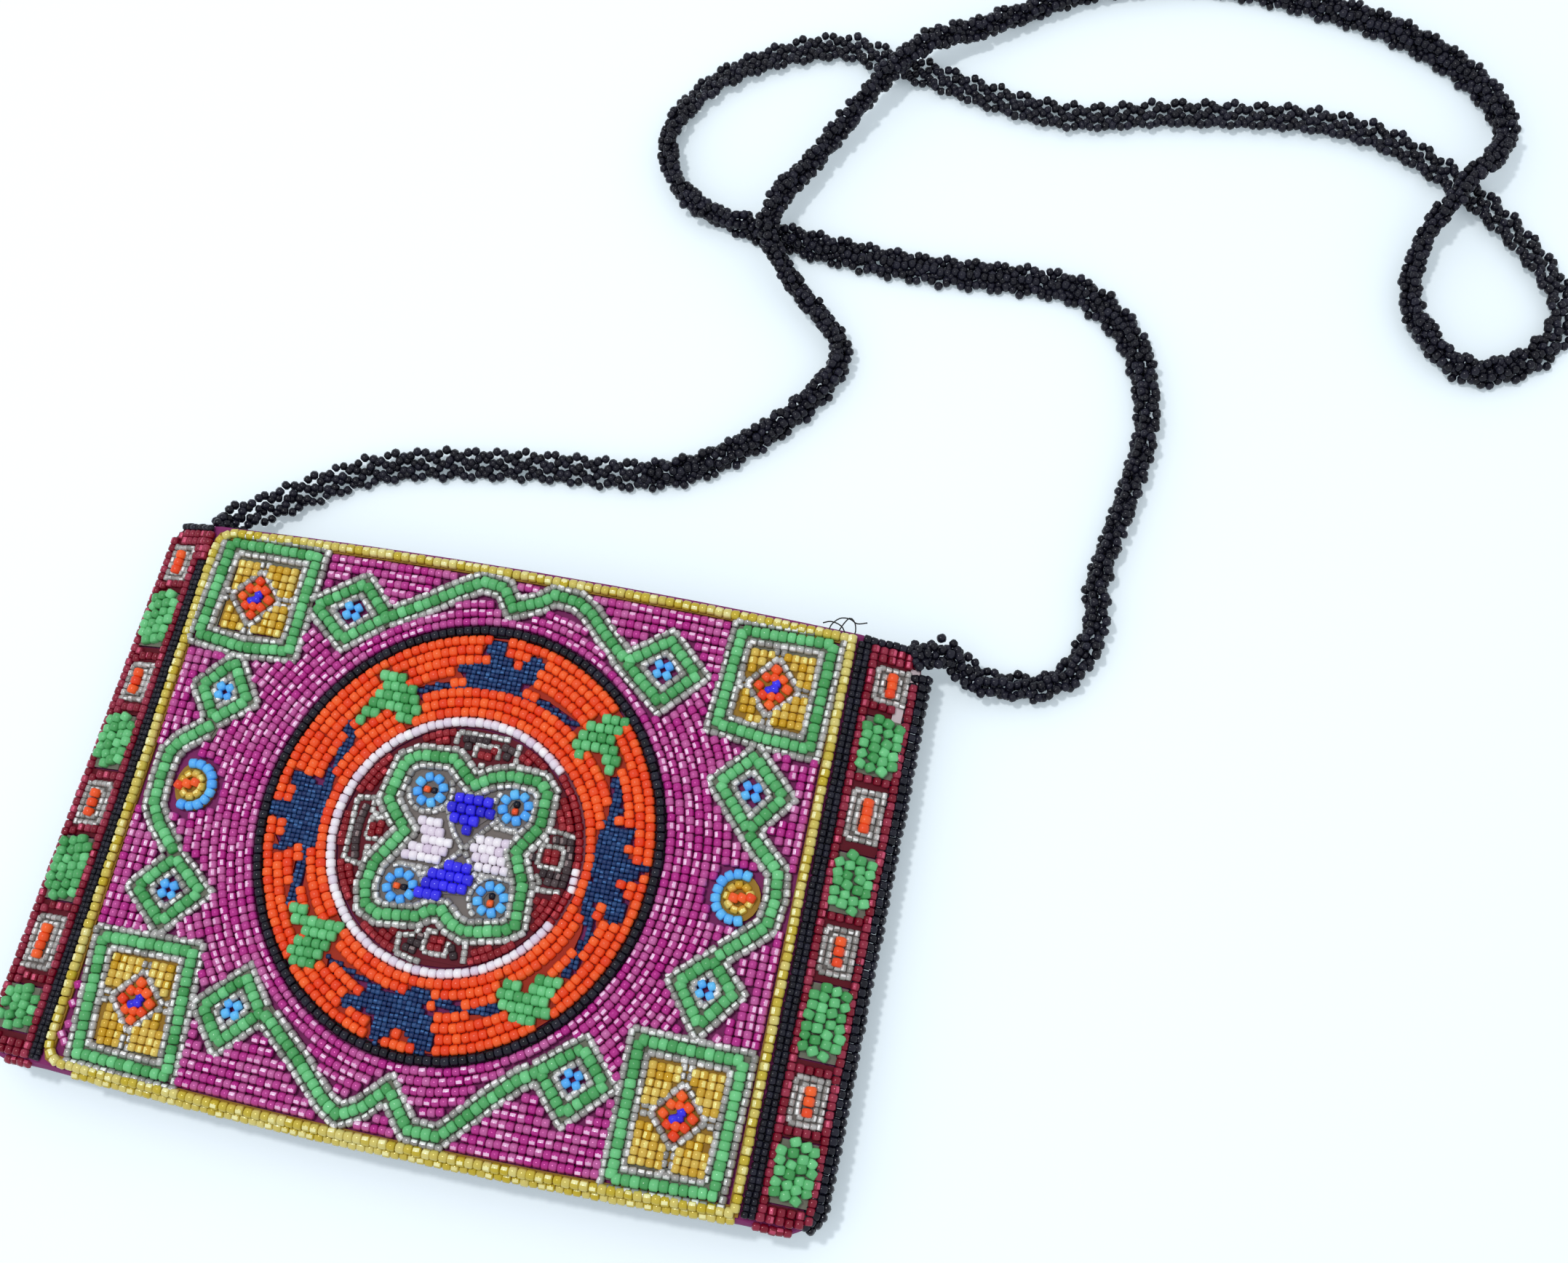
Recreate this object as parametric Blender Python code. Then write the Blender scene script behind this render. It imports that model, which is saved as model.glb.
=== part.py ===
"""A beaded belt bag: a flat purse lying on its back, with a zip in its top edge and a netted bead strap.

Lengths are in millimetres and become metres when a mesh is made. The face lies level, +X is its
right and +Y its top edge, and every pattern point is measured from the middle of the field that
the yellow bead row frames.
"""
import math

import bpy
from mathutils import Vector
from mathutils.geometry import delaunay_2d_cdt

MM = 0.001

# The bag's body
FIELD_LEFT = -67.0            # left fold of the face, at mid height
FIELD_RIGHT = 62.8            # fold where the right band starts to slope down
FIELD_TOP = 53.0
FIELD_BOTTOM = -52.2
TOP_BOW = 1.5                 # how far the top and bottom edges swell between their corners
BOTTOM_BOW = 1.6
LEFT_SKEW = 0.0275            # the left fold runs this much to the right per unit of height
CORNER_RADIUS = 4.0
CLOTH = 1.0                   # thickness of the quilted cloth
CLOTH_TOP = 11.2              # upper side of the level cloth above the table
CLEARANCE = 0.3               # gap that touching pieces keep

# Both sides slope down to their seams, and the left one widens towards the bottom
SLOPE_RUN = 10.8
SLOPE_DROP = 3.6
SLOPE = math.atan2(SLOPE_DROP, SLOPE_RUN)
LEFT_RUN = 11.2               # at mid height
LEFT_SPREAD = 0.045           # what the left run gains per unit of height downwards
LEFT_WIDTH = LEFT_RUN / math.cos(SLOPE)
LEFT_CORNER = 5.0             # radius of the bottom left corner
SEAM_HEIGHT = 6.2             # middle of the seam above the table
BOTTOM_ROLL = 0.9             # how far the cloth swells past the field at the bottom
RIGHT_ROLL = 1.4
LEFT_ROLL = 0.6
TOP_ROLL = 0.8
RIM_DROP = 1.8                # how far the front rim of the mouth turns down
BACK_RIM = 2.6                # height of the back rim of the mouth
BACK_RISE_RUN = 9.0           # width over which the back rises to the right seam

# Beads, as heights above the cloth
MAGENTA = 1.6
SILVER = 1.3
GREEN = 2.0
ORANGE = 1.9
YELLOW = 1.6
BLACK = 1.7
RED = 1.6
PINK = 1.7
NAVY = 1.2
BLUE = 2.1
SEAT = CLEARANCE              # the bead rows start this far above the cloth

# Rows and lines
GREEN_ROW = 2.1
SILVER_ROW = 1.0
OUTER_SILVER = 0.55           # the silver rows outside a figure lean on their neighbours
YELLOW_ROW = 1.8
BLACK_LINE = 2.1
RED_ROW = 1.8
RIGHT_BAND = 9.6
GREEN_MARGIN = 1.0            # red left beside a green block

# The medallion, an upright oval
MEDALLION = Vector((-2.1, 2.1))
BLACK_RING = Vector((37.6, 39.9))
BLACK_RING_ROW = 1.9
ROSETTE = Vector((-2.3, 0.85))
PINK_RING = Vector((23.5, 23.3))
PINK_ROW = 1.8
RING_POINTS = 40

# The middles of the blocks up the bands and half their heights, silver and green by turns
RIGHT_BLOCKS = ((45.0, 3.6), (33.3, 5.7), (20.4, 5.0), (7.8, 5.7), (-4.4, 4.5), (-17.0, 6.9), (-30.7, 4.5), (-42.9, 5.7))
LEFT_BLOCKS = ((45.0, 3.8), (33.2, 5.8), (20.4, 4.0), (8.2, 5.6), (-4.0, 4.4), (-16.8, 6.4), (-30.9, 5.2), (-43.4, 4.4))
BLOCK_BAR = 1.0               # half width of the orange bar in a silver block

# Corner squares as the middle line of their green row, and the orange diamond inside
CORNERS = {
    "top_left": (((-61.2, 50.2), (-43.5, 50.3), (-43.9, 31.3), (-53.2, 31.0), (-62.6, 31.6)), (-53.4, 40.2)),
    "top_right": (((41.4, 50.2), (58.6, 50.3), (58.2, 30.2), (50.0, 30.7), (40.4, 31.9)), (49.2, 40.4)),
    "bottom_left": (((-63.2, -27.8), (-45.6, -27.3), (-43.9, -49.6), (-61.7, -48.9)), (-53.4, -37.9)),
    "bottom_right": (((39.3, -26.3), (58.1, -26.4), (57.7, -49.2), (39.6, -50.0)), (48.8, -37.6)),
}
CORNER_DIAMOND = (3.6, 4.4)   # half width and half height

# Vines as the middle line of their green row, and the two diamonds that each one joins
VINES = {
    "top": (
        ((-34.0, 35.2), (-26.5, 40.9), (-20.0, 44.6), (-13.7, 48.8), (-9.7, 51.0), (-5.4, 50.5), (-2.7, 46.8),
         (2.2, 48.9), (4.6, 50.7), (9.3, 50.3), (12.3, 48.5), (16.0, 44.8), (21.0, 40.4), (28.9, 34.2)),
        (((-39.3, 40.8), (-32.5, 46.6), (-26.8, 41.0), (-34.0, 35.2)),
         ((21.0, 40.3), (28.5, 45.8), (34.7, 40.1), (28.9, 34.0))),
    ),
    "bottom": (
        ((-34.2, -30.0), (-29.7, -34.6), (-25.6, -38.0), (-20.6, -41.9), (-16.7, -45.5), (-13.6, -48.2),
         (-10.7, -49.7), (-7.2, -47.8), (-3.0, -43.4), (0.0, -47.0), (2.3, -49.6), (8.0, -49.6),
         (11.9, -45.4), (15.5, -41.4), (19.6, -37.4), (23.1, -35.0)),
        (((-40.1, -36.2), (-34.2, -29.9), (-29.8, -35.4), (-36.2, -41.9)),
         ((23.0, -35.2), (29.7, -29.7), (34.9, -35.2), (28.9, -41.3))),
    ),
    "left": (
        ((-54.0, 16.2), (-55.4, 12.6), (-59.6, 10.4), (-61.3, 7.8), (-61.5, 2.6), (-61.3, -2.4), (-59.0, -5.8),
         (-55.6, -8.9), (-53.9, -11.2)),
        (((-58.7, 21.6), (-53.7, 26.3), (-49.2, 20.2), (-54.6, 15.7)),
         ((-59.6, -17.8), (-54.0, -11.3), (-47.5, -16.5), (-53.4, -23.2))),
    ),
    "right": (
        ((50.3, 13.7), (53.0, 10.8), (57.1, 7.2), (57.8, 2.6), (57.2, -2.6), (53.3, -6.3), (49.0, -10.2)),
        (((43.3, 21.2), (48.7, 26.4), (55.4, 20.5), (50.3, 13.6)),
         ((43.8, -15.1), (49.0, -10.4), (53.8, -15.4), (49.0, -21.7))),
    ),
}
DIAMOND_HEART = 1.9           # half width of the sky-blue heart of a diamond

# The eyes in the side vines: middle, half width and half height of their sky-blue row
EYES = {"left": ((-54.4, 2.6), (4.0, 4.8)), "right": ((50.8, 1.4), (4.3, 4.5))}
EYE_ROW = 1.9

# Navy figures on the orange ring
FIGURES = {
    "top": ((-5.5, 40.0), (-2.5, 40.0), (-2.8, 37.5), (0.5, 36.2), (3.5, 38.3), (6.0, 36.0), (4.2, 33.2), (2.6, 31.2),
            (8.0, 30.2), (14.8, 27.2), (14.0, 25.9), (7.0, 28.4), (0.0, 29.4), (-8.0, 29.2), (-15.6, 26.6),
            (-17.4, 28.3), (-10.0, 31.0), (-7.7, 31.2), (-9.6, 33.2), (-10.6, 35.2), (-6.5, 36.6)),
    "left": ((-37.0, 8.8), (-31.4, 8.6), (-29.6, 12.5), (-29.4, 20.5), (-27.7, 20.5), (-27.9, 12.0), (-28.9, 7.6),
             (-29.0, -1.0), (-29.4, -6.0), (-28.6, -15.6), (-30.4, -15.8), (-31.2, -6.0), (-32.6, -4.4),
             (-34.7, -5.4), (-36.3, -3.3), (-35.6, -1.2), (-37.6, 0.2), (-37.8, 2.2), (-34.8, 3.2), (-35.6, 6.4)),
    "right": ((23.4, 18.4), (25.2, 18.7), (26.9, 12.5), (28.3, 10.6), (30.9, 9.8), (30.2, 6.6), (28.9, 4.2),
              (33.2, 3.2), (33.0, 1.0), (30.5, -0.6), (31.6, -3.0), (31.4, -6.0), (29.6, -7.6), (28.0, -5.5),
              (26.6, -3.6), (26.4, -8.0), (27.2, -10.0), (24.9, -17.6), (23.4, -17.4), (24.8, -10.0), (24.6, -6.0),
              (24.0, 0.0), (23.9, 6.0), (25.0, 10.0), (24.4, 14.0)),
    "bottom": ((-20.0, -23.4), (-14.0, -25.6), (-9.0, -26.5), (-2.0, -26.1), (5.0, -26.4), (13.4, -25.2),
               (14.2, -26.4), (6.0, -28.4), (1.0, -28.6), (2.2, -31.4), (2.9, -35.2), (-0.2, -35.4), (-1.8, -33.6),
               (-3.6, -32.4), (-5.6, -33.2), (-7.0, -35.2), (-8.6, -34.6), (-9.6, -31.6), (-15.4, -31.0),
               (-13.0, -28.8), (-19.8, -25.2)),
}
LEAVES = (
    ((-25.5, 30.4), (-20.0, 31.0), (-18.5, 28.7), (-15.6, 26.0), (-15.2, 23.0), (-17.5, 20.8), (-20.5, 23.6),
     (-23.0, 22.4), (-26.5, 19.6), (-27.0, 22.0), (-24.5, 25.5), (-23.5, 27.5)),
    ((18.5, 28.8), (21.5, 30.8), (24.6, 28.8), (22.6, 26.6), (22.4, 24.6), (25.4, 20.6), (22.8, 18.8),
     (20.4, 21.8), (18.6, 23.6), (17.4, 20.6), (15.8, 21.4), (14.9, 24.4), (16.6, 26.4)),
    ((-28.4, -14.8), (-25.8, -16.4), (-23.2, -17.4), (-21.4, -15.8), (-19.2, -17.4), (-18.8, -20.6),
     (-20.6, -22.4), (-22.4, -25.2), (-27.4, -26.0), (-27.8, -22.6), (-25.6, -20.6), (-28.6, -18.4), (-30.4, -16.4)),
    ((12.2, -21.4), (14.8, -20.6), (17.0, -22.2), (19.4, -19.0), (22.0, -18.6), (23.4, -20.4), (22.4, -23.0),
     (22.6, -25.6), (20.4, -27.4), (17.6, -28.0), (14.4, -26.0), (12.8, -24.2)),
)

# The rosette in the middle: a green four-leaved line, and the flowers and fans inside it
QUATREFOIL = ((-15.6, 14.4), (-13.0, 16.1), (-6.4, 16.6), (-3.0, 13.6), (-1.4, 12.4), (1.4, 14.3), (5.0, 15.4),
              (10.6, 15.2), (12.4, 13.4), (12.5, 7.0), (10.3, 3.6), (9.2, 1.6), (10.4, -0.8), (12.0, -4.0),
              (12.4, -11.2), (10.4, -12.6), (3.4, -14.1), (0.6, -13.1), (-1.6, -11.2), (-3.8, -11.4), (-6.0, -13.0),
              (-13.0, -13.9), (-15.9, -12.8), (-16.9, -9.0), (-16.5, -5.0), (-14.4, -1.6), (-12.2, 1.9),
              (-15.2, 5.0), (-17.0, 7.2))
FLOWERS = ((-9.8, 10.2), (7.4, 9.5), (-10.4, -8.2), (6.8, -7.6))
FLOWER_RADIUS = 3.6
BLUE_WEDGES = (((-4.8, 9.8), (3.2, 10.6), (2.8, 7.0), (-0.9, 3.4)), ((-5.8, -8.6), (2.4, -7.6), (3.0, -4.6), (-0.9, -1.6)))
PINK_FANS = (((-3.4, 1.2), (-7.6, 5.6), (-10.0, 4.6), (-9.6, 0.6), (-11.6, -3.0), (-5.0, -2.6)),
             ((1.2, 1.0), (3.4, 4.2), (7.4, 3.6), (6.9, 0.8), (8.4, -1.8), (3.2, -2.0)))
STEPS = (((-7.4, 22.2), (5.4, 22.0), (5.4, 17.8), (-7.4, 18.4)), ((-22.2, 7.6), (-18.6, 7.6), (-15.6, 1.4), (-18.6, -6.4), (-22.2, -6.4)),
         ((19.2, 8.2), (15.2, 8.4), (12.6, 1.4), (15.2, -3.6), (19.4, -3.8)), ((-7.6, -15.9), (5.6, -16.1), (5.6, -20.2), (-7.6, -20.2)))

# The pouch and its zip
LINING = 0.6
LINING_LEFT = -62.4
LINING_RIGHT = 60.6
LINING_BOTTOM = -48.2
MOUTH_DEPTH = 6.4             # from the top edge of the face down to the rim of the lining
LINING_MOUTH = FIELD_TOP - MOUTH_DEPTH
LINING_ROUND = 3.6
ZIP_LEFT = -60.0
ZIP_RIGHT = 60.0
TAPE = 0.6
TAPE_LEG = 2.2
TEETH_PITCH = 5.0
TOOTH = 2.5
TEETH_THICK = 2.0
TEETH_TALL = 1.3
TEETH_GAP = 1.6               # room between the two rows for the slider's neck
SLIDER_LENGTH = 9.0
SLIDER_PLATE = 0.9
SLIDER_TALL = 5.8
NECK = 1.0
NECK_LENGTH = 2.4
FLANGE = 0.5
ARCH_HALF = 2.2
ARCH_BAR = 0.7
ARCH_WIDE = 1.2
PULL_BAR = 0.8
PULL_THICK = 0.6
PULL_LENGTH = 15.0
PULL_WIDE = 3.8
PULL_EYE = 3.0

# Seam edging and strap
EDGING = 1.25
STRAP = 4.4                   # the netted tube pressed round
STRAP_POINTS = 72
END_WIDE = 5.0                # the sewn end of the strap
END_THICK = 2.6
END_LONG = 2.8
TABLE = STRAP / 2             # height of the strap's middle where it lies on the table
OVER = TABLE + STRAP + 0.5    # and where it passes over itself
STRAP_ROUTE = (
    (-63.0, 57.4, 8.5), (-57.0, 65.8, 4.4), (-39.5, 74.3, TABLE), (-12.0, 78.9, TABLE), (14.6, 81.2, TABLE),
    (29.6, 88.2, TABLE), (43.4, 102.4, TABLE), (46.4, 114.0, 2.8), (33.6, 126.4, 4.6), (27.4, 137.4, OVER),
    (34.0, 154.4, 4.6), (48.0, 178.2, OVER), (61.6, 188.4, 4.4), (84.0, 201.6, TABLE), (109.0, 206.4, TABLE),
    (139.0, 201.4, TABLE), (159.6, 191.0, 3.0), (167.2, 177.4, 5.2), (161.4, 165.9, OVER), (153.8, 151.0, 4.0),
    (154.8, 136.0, TABLE), (166.8, 127.0, TABLE), (179.8, 134.6, TABLE), (180.4, 147.6, TABLE), (161.4, 166.5, TABLE),
    (138.0, 177.2, TABLE), (106.0, 176.0, TABLE), (80.0, 172.2, TABLE), (48.0, 178.9, TABLE), (30.6, 182.0, TABLE),
    (9.6, 171.4, TABLE), (1.3, 156.0, TABLE), (8.6, 141.4, TABLE), (27.4, 136.4, TABLE), (58.0, 133.8, TABLE),
    (84.4, 132.0, TABLE), (101.0, 119.4, TABLE), (109.0, 98.0, TABLE), (105.6, 69.0, TABLE), (97.6, 54.4, TABLE),
    (87.4, 51.4, 3.4), (78.4, 52.0, 5.7),
)

COLOURS = {
    "cloth": ((0.62, 0.58, 0.56), 0.85),
    "backing": ((0.02, 0.02, 0.022), 0.9),
    "magenta": ((0.38, 0.022, 0.19), 0.25),
    "green": ((0.07, 0.40, 0.11), 0.3),
    "silver": ((0.5, 0.5, 0.5), 0.2),
    "orange": ((0.91, 0.09, 0.012), 0.3),
    "yellow": ((0.60, 0.38, 0.01), 0.25),
    "red": ((0.26, 0.008, 0.03), 0.3),
    "black": ((0.008, 0.008, 0.01), 0.25),
    "pink": ((0.80, 0.58, 0.72), 0.3),
    "navy": ((0.012, 0.045, 0.17), 0.6),
    "blue": ((0.07, 0.36, 0.80), 0.3),
    "brass": ((0.55, 0.40, 0.18), 0.35),
}

origin = bpy.data.objects.new("bag_origin", None)


def clear_scene():
    for thing in list(bpy.data.objects):
        if thing is not origin:
            bpy.data.objects.remove(thing, do_unlink=True)
    bpy.context.scene.collection.objects.link(origin)


def material(slot):
    found = bpy.data.materials.get(slot)
    if found:
        return found
    colour, roughness = COLOURS[slot]
    made = bpy.data.materials.new(slot)
    made.use_nodes = True
    shader = made.node_tree.nodes["Principled BSDF"]
    shader.inputs["Base Color"].default_value = (*colour, 1.0)
    shader.inputs["Roughness"].default_value = roughness
    shader.inputs["Metallic"].default_value = 0.9 if slot == "brass" else 0.0
    made.diffuse_color = (*colour, 1.0)
    return made


def add_mesh(name, points, faces, slot, at=(0.0, 0.0, 0.0)):
    mesh = bpy.data.meshes.new(name)
    mesh.from_pydata([Vector(point) * MM for point in points], [], faces)
    mesh.materials.append(material(slot))
    thing = bpy.data.objects.new(name, mesh)
    thing.location = Vector(at) * MM
    thing.parent = origin
    bpy.context.scene.collection.objects.link(thing)
    return thing


# Plane outlines

def oval(middle, half, count=RING_POINTS):
    turn = 2 * math.pi / count
    return [(middle[0] + half[0] * math.cos(k * turn), middle[1] + half[1] * math.sin(k * turn)) for k in range(count)]


def box_outline(x0, y0, x1, y1):
    return [(x0, y0), (x1, y0), (x1, y1), (x0, y1)]


def diamond_outline(middle, half_wide, half_tall):
    x, y = middle
    return [(x - half_wide, y), (x, y - half_tall), (x + half_wide, y), (x, y + half_tall)]


def signed_area(line):
    return sum(a[0] * b[1] - b[0] * a[1] for a, b in zip(line, line[1:] + line[:1])) / 2


def shifted(line, distance, closed=True):
    """The line moved sideways: outwards on a closed outline, to the right of the way on an open one."""
    points = [Vector(p) for p in line]
    if closed and signed_area(list(line)) < 0:
        distance = -distance
    moved = []
    for k, point in enumerate(points):
        before = points[k - 1] if closed or k > 0 else None
        after = points[(k + 1) % len(points)] if closed or k < len(points) - 1 else None
        ways = [way.normalized() for way in (point - before if before is not None else None,
                                             after - point if after is not None else None) if way is not None]
        mean = sum(ways, Vector((0.0, 0.0))).normalized()
        side = Vector((mean.y, -mean.x))
        stretch = max(0.55, side.dot(Vector((ways[0].y, -ways[0].x))))
        moved.append(tuple(point + side * distance / stretch))
    return moved


def row_outline(line, width):
    """The outline of an open row of beads along a line."""
    return shifted(line, width / 2, closed=False) + shifted(line, -width / 2, closed=False)[::-1]


def lengthened(line, extra):
    """An open line with both ends drawn out a little."""
    first, second, last, before = Vector(line[0]), Vector(line[1]), Vector(line[-1]), Vector(line[-2])
    start = first + (first - second).normalized() * extra
    end = last + (last - before).normalized() * extra
    return [tuple(start)] + list(line[1:-1]) + [tuple(end)]


# The three surfaces that carry the beads: level face and two sloping sides

def on_face(x, y, height):
    return Vector((x, y, CLOTH_TOP + height))


def on_slope(x, y, height):
    across = (x - FIELD_RIGHT)
    return Vector((FIELD_RIGHT + across * math.cos(SLOPE) + height * math.sin(SLOPE), y,
                   CLOTH_TOP - across * math.sin(SLOPE) + height * math.cos(SLOPE)))


def fold_x(y):
    return FIELD_LEFT + LEFT_SKEW * y


def left_run(y):
    return LEFT_RUN - LEFT_SPREAD * y


def on_left(depth, y, height):
    """A point that lies depth down the left slope, as measured at mid height, and height out of the cloth."""
    across = left_run(y) * depth / LEFT_WIDTH
    return Vector((fold_x(y) - across - height * math.sin(SLOPE), y,
                   CLOTH_TOP - across * math.tan(SLOPE) + height * math.cos(SLOPE)))


# Reliefs: flat fields of beads with one or more levels, as one closed solid

def filled(points, follows):
    """Triangles, as point numbers, that fill the loops given as each point's follower."""
    left = dict(follows)
    loops = []
    while left:
        start = next(iter(left))
        loop = [start]
        while left[loop[-1]] != start:
            loop.append(left.pop(loop[-1]))
        left.pop(loop[-1])
        loops.append(loop if signed_area([points[k] for k in loop]) > 0 else loop[::-1])
    numbers = [k for loop in loops for k in loop]
    starts = [sum(len(loop) for loop in loops[:k]) for k in range(len(loops))]
    outlines = [list(range(start, start + len(loop))) for start, loop in zip(starts, loops)]
    _, _, triangles, came_from, _, sources = delaunay_2d_cdt([points[k] for k in numbers], [], outlines, 0, 1e-7)
    return [[numbers[came_from[k][0]] for k in triangle] for triangle, source in zip(triangles, sources)
            if len(source) % 2]


def relief(name, layers, slot, surface=on_face, low=SEAT, flip=False):
    """layers is a list of (outlines kept, outlines cut, level); later layers shape what the first one keeps."""
    corners, loops, marks = [], [], []
    for order, (keep, cut, _) in enumerate(layers):
        for kind, outlines in (("keep", keep), ("cut", cut)):
            for outline in outlines:
                line = list(outline) if signed_area(list(outline)) > 0 else list(outline)[::-1]
                loops.append(list(range(len(corners), len(corners) + len(line))))
                corners.extend(Vector(p) for p in line)
                marks.append((order, kind))
    points, _, triangles, _, _, sources = delaunay_2d_cdt(corners, [], loops, 0, 1e-5)
    levels = []
    for source in sources:
        inside = {marks[k] for k in source}
        level = None
        for order, (_, _, high) in enumerate(layers):
            if (order, "keep") in inside and (order, "cut") not in inside and (order == 0 or level is not None):
                level = high
        levels.append(level)
    vertices, faces, index = [], [], {}

    def vertex(k, height):
        key = (k, round(height, 4))
        if key not in index:
            index[key] = len(vertices)
            vertices.append(surface(points[k].x, points[k].y, height))
        return index[key]

    sides = {}
    heights = [{low} for _ in points]
    for triangle, level in zip(triangles, levels):
        for a, b in zip(triangle, triangle[1:] + triangle[:1]):
            sides[(a, b)] = level
        if level is not None:
            faces.append([vertex(k, level) for k in triangle])
            for k in triangle:
                heights[k].add(level)
    follows = {a: b for (a, b), level in sides.items() if level is not None and sides.get((b, a)) is None}
    for triangle in filled(points, follows):
        faces.append([vertex(k, low) for k in reversed(triangle)])
    for (a, b), level in sides.items():
        other = sides.get((b, a))
        base = low if other is None else other
        if level is not None and base < level:
            down = [vertex(a, height) for height in sorted(heights[a], reverse=True) if base <= height <= level]
            up = [vertex(b, height) for height in sorted(heights[b]) if base <= height <= level]
            faces.append(down + up)
    if flip:
        faces = [face[::-1] for face in faces]
    return add_mesh(name, vertices, faces, slot)


def ring_layer(line, width, level):
    return ([shifted(line, width / 2)], [shifted(line, -width / 2)], level)


# The cloth body

def body_outline():
    """Corner points of the face with their side weights, once round from the bottom left."""
    r = CORNER_RADIUS
    right = FIELD_RIGHT + SLOPE_RUN
    rows = []
    steps = 4

    def corner(cx, cy, start, first, second, r=CORNER_RADIUS):
        for k in range(steps + 1):
            part = k / steps
            angle = math.radians(start + 90 * part)
            rows.append(((cx + r * math.cos(angle), cy + r * math.sin(angle)), (first, second, part),
                         (math.cos(angle), math.sin(angle))))

    def side(start, end, count, name, way, bow=0.0):
        for k in range(1, count):
            part = k / count
            swell = bow * 4 * part * (1 - part)
            x = start[0] + (end[0] - start[0]) * part + way[0] * swell
            y = start[1] + (end[1] - start[1]) * part + way[1] * swell
            rows.append(((x, y), (name, name, 0.0), way))

    low_fold, top_fold = fold_x(FIELD_BOTTOM), fold_x(FIELD_TOP)
    low_left = low_fold - left_run(FIELD_BOTTOM)
    top_left = top_fold - left_run(FIELD_TOP)
    corner(low_left + LEFT_CORNER, FIELD_BOTTOM + LEFT_CORNER, 180, "left", "bottom", LEFT_CORNER)
    rows.append(((low_fold, FIELD_BOTTOM), ("bottom", "bottom", 0.0), (0.0, -1.0)))
    side((low_fold, FIELD_BOTTOM), (FIELD_RIGHT, FIELD_BOTTOM), 8, "bottom", (0.0, -1.0), BOTTOM_BOW)
    rows.append(((FIELD_RIGHT, FIELD_BOTTOM), ("bottom", "bottom", 0.0), (0.0, -1.0)))
    corner(right - r, FIELD_BOTTOM + r, 270, "bottom", "right")
    side((right, FIELD_BOTTOM + r), (right, FIELD_TOP - r), 4, "right", (1.0, 0.0))
    corner(right - r, FIELD_TOP - r, 0, "right", "top")
    rows.append(((FIELD_RIGHT, FIELD_TOP), ("top", "top", 0.0), (0.0, 1.0)))
    side((FIELD_RIGHT, FIELD_TOP), (top_fold, FIELD_TOP), 8, "top", (0.0, 1.0), TOP_BOW)
    rows.append(((top_fold, FIELD_TOP), ("top", "top", 0.0), (0.0, 1.0)))
    corner(top_left + r, FIELD_TOP - r, 90, "top", "left")
    side((top_left, FIELD_TOP - r), (low_left, FIELD_BOTTOM + LEFT_CORNER), 5, "left", (-1.0, 0.0))
    return rows


def face_height(x, y):
    return CLOTH_TOP - max(0.0, x - FIELD_RIGHT, fold_x(y) - x) * SLOPE_DROP / SLOPE_RUN


def mouth_end(x, y):
    """How far the mouth has closed at x: 0 over the zip and 1 at the corners."""
    right = (x - FIELD_RIGHT) / (SLOPE_RUN - CORNER_RADIUS)
    left = (fold_x(y) - x) / (left_run(y) - CORNER_RADIUS)
    return min(1.0, max(0.0, left, right))


def skirt_levels(x, y):
    """For each side, how far out and at what height the cloth runs on its way down to the seam."""
    ground = face_height(x, y)
    seam = SEAM_HEIGHT + CLEARANCE / 2
    rim = CLOTH_TOP - RIM_DROP
    rim += (seam - rim) * mouth_end(x, y)

    def rolled(out, foot):
        return [(out * 0.65, ground - (ground - foot) * 0.24), (out * 0.95, ground - (ground - foot) * 0.6), (out, foot)]

    return {
        "left": rolled(LEFT_ROLL, seam),
        "bottom": rolled(BOTTOM_ROLL, seam),
        "right": rolled(RIGHT_ROLL, seam),
        "top": rolled(TOP_ROLL, rim),
    }


def back_levels(x, y):
    """The same for the back panel, from its flat bottom up to the seam."""
    seam = SEAM_HEIGHT - CLEARANCE / 2
    rim = BACK_RIM + (seam - BACK_RIM) * mouth_end(x, y)

    def risen(roll):
        inner = roll - BACK_RISE_RUN
        return [(inner, 0.0), (inner * 0.5, seam * 0.22), (inner * 0.05, seam * 0.58), (roll, seam)]

    return {
        "left": risen(LEFT_ROLL),
        "bottom": [(-1.6, 0.0), (BOTTOM_ROLL * 0.4, seam * 0.2), (BOTTOM_ROLL * 0.85, seam * 0.55), (BOTTOM_ROLL, seam)],
        "right": risen(RIGHT_ROLL),
        "top": [(-2.2, 0.0), (-0.2, rim * 0.25), (TOP_ROLL * 0.8, rim * 0.6), (TOP_ROLL, rim)],
    }


def blended(levels, weights, k):
    first, second, part = weights
    a, b = levels[first][k], levels[second][k]
    return a[0] + (b[0] - a[0]) * part, a[1] + (b[1] - a[1]) * part


def stitched(loops):
    """Quads between loops of equal length, as index rows."""
    count = len(loops[0])
    return [[upper[k], lower[k], lower[(k + 1) % count], upper[(k + 1) % count]]
            for upper, lower in zip(loops, loops[1:]) for k in range(count)]


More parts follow.
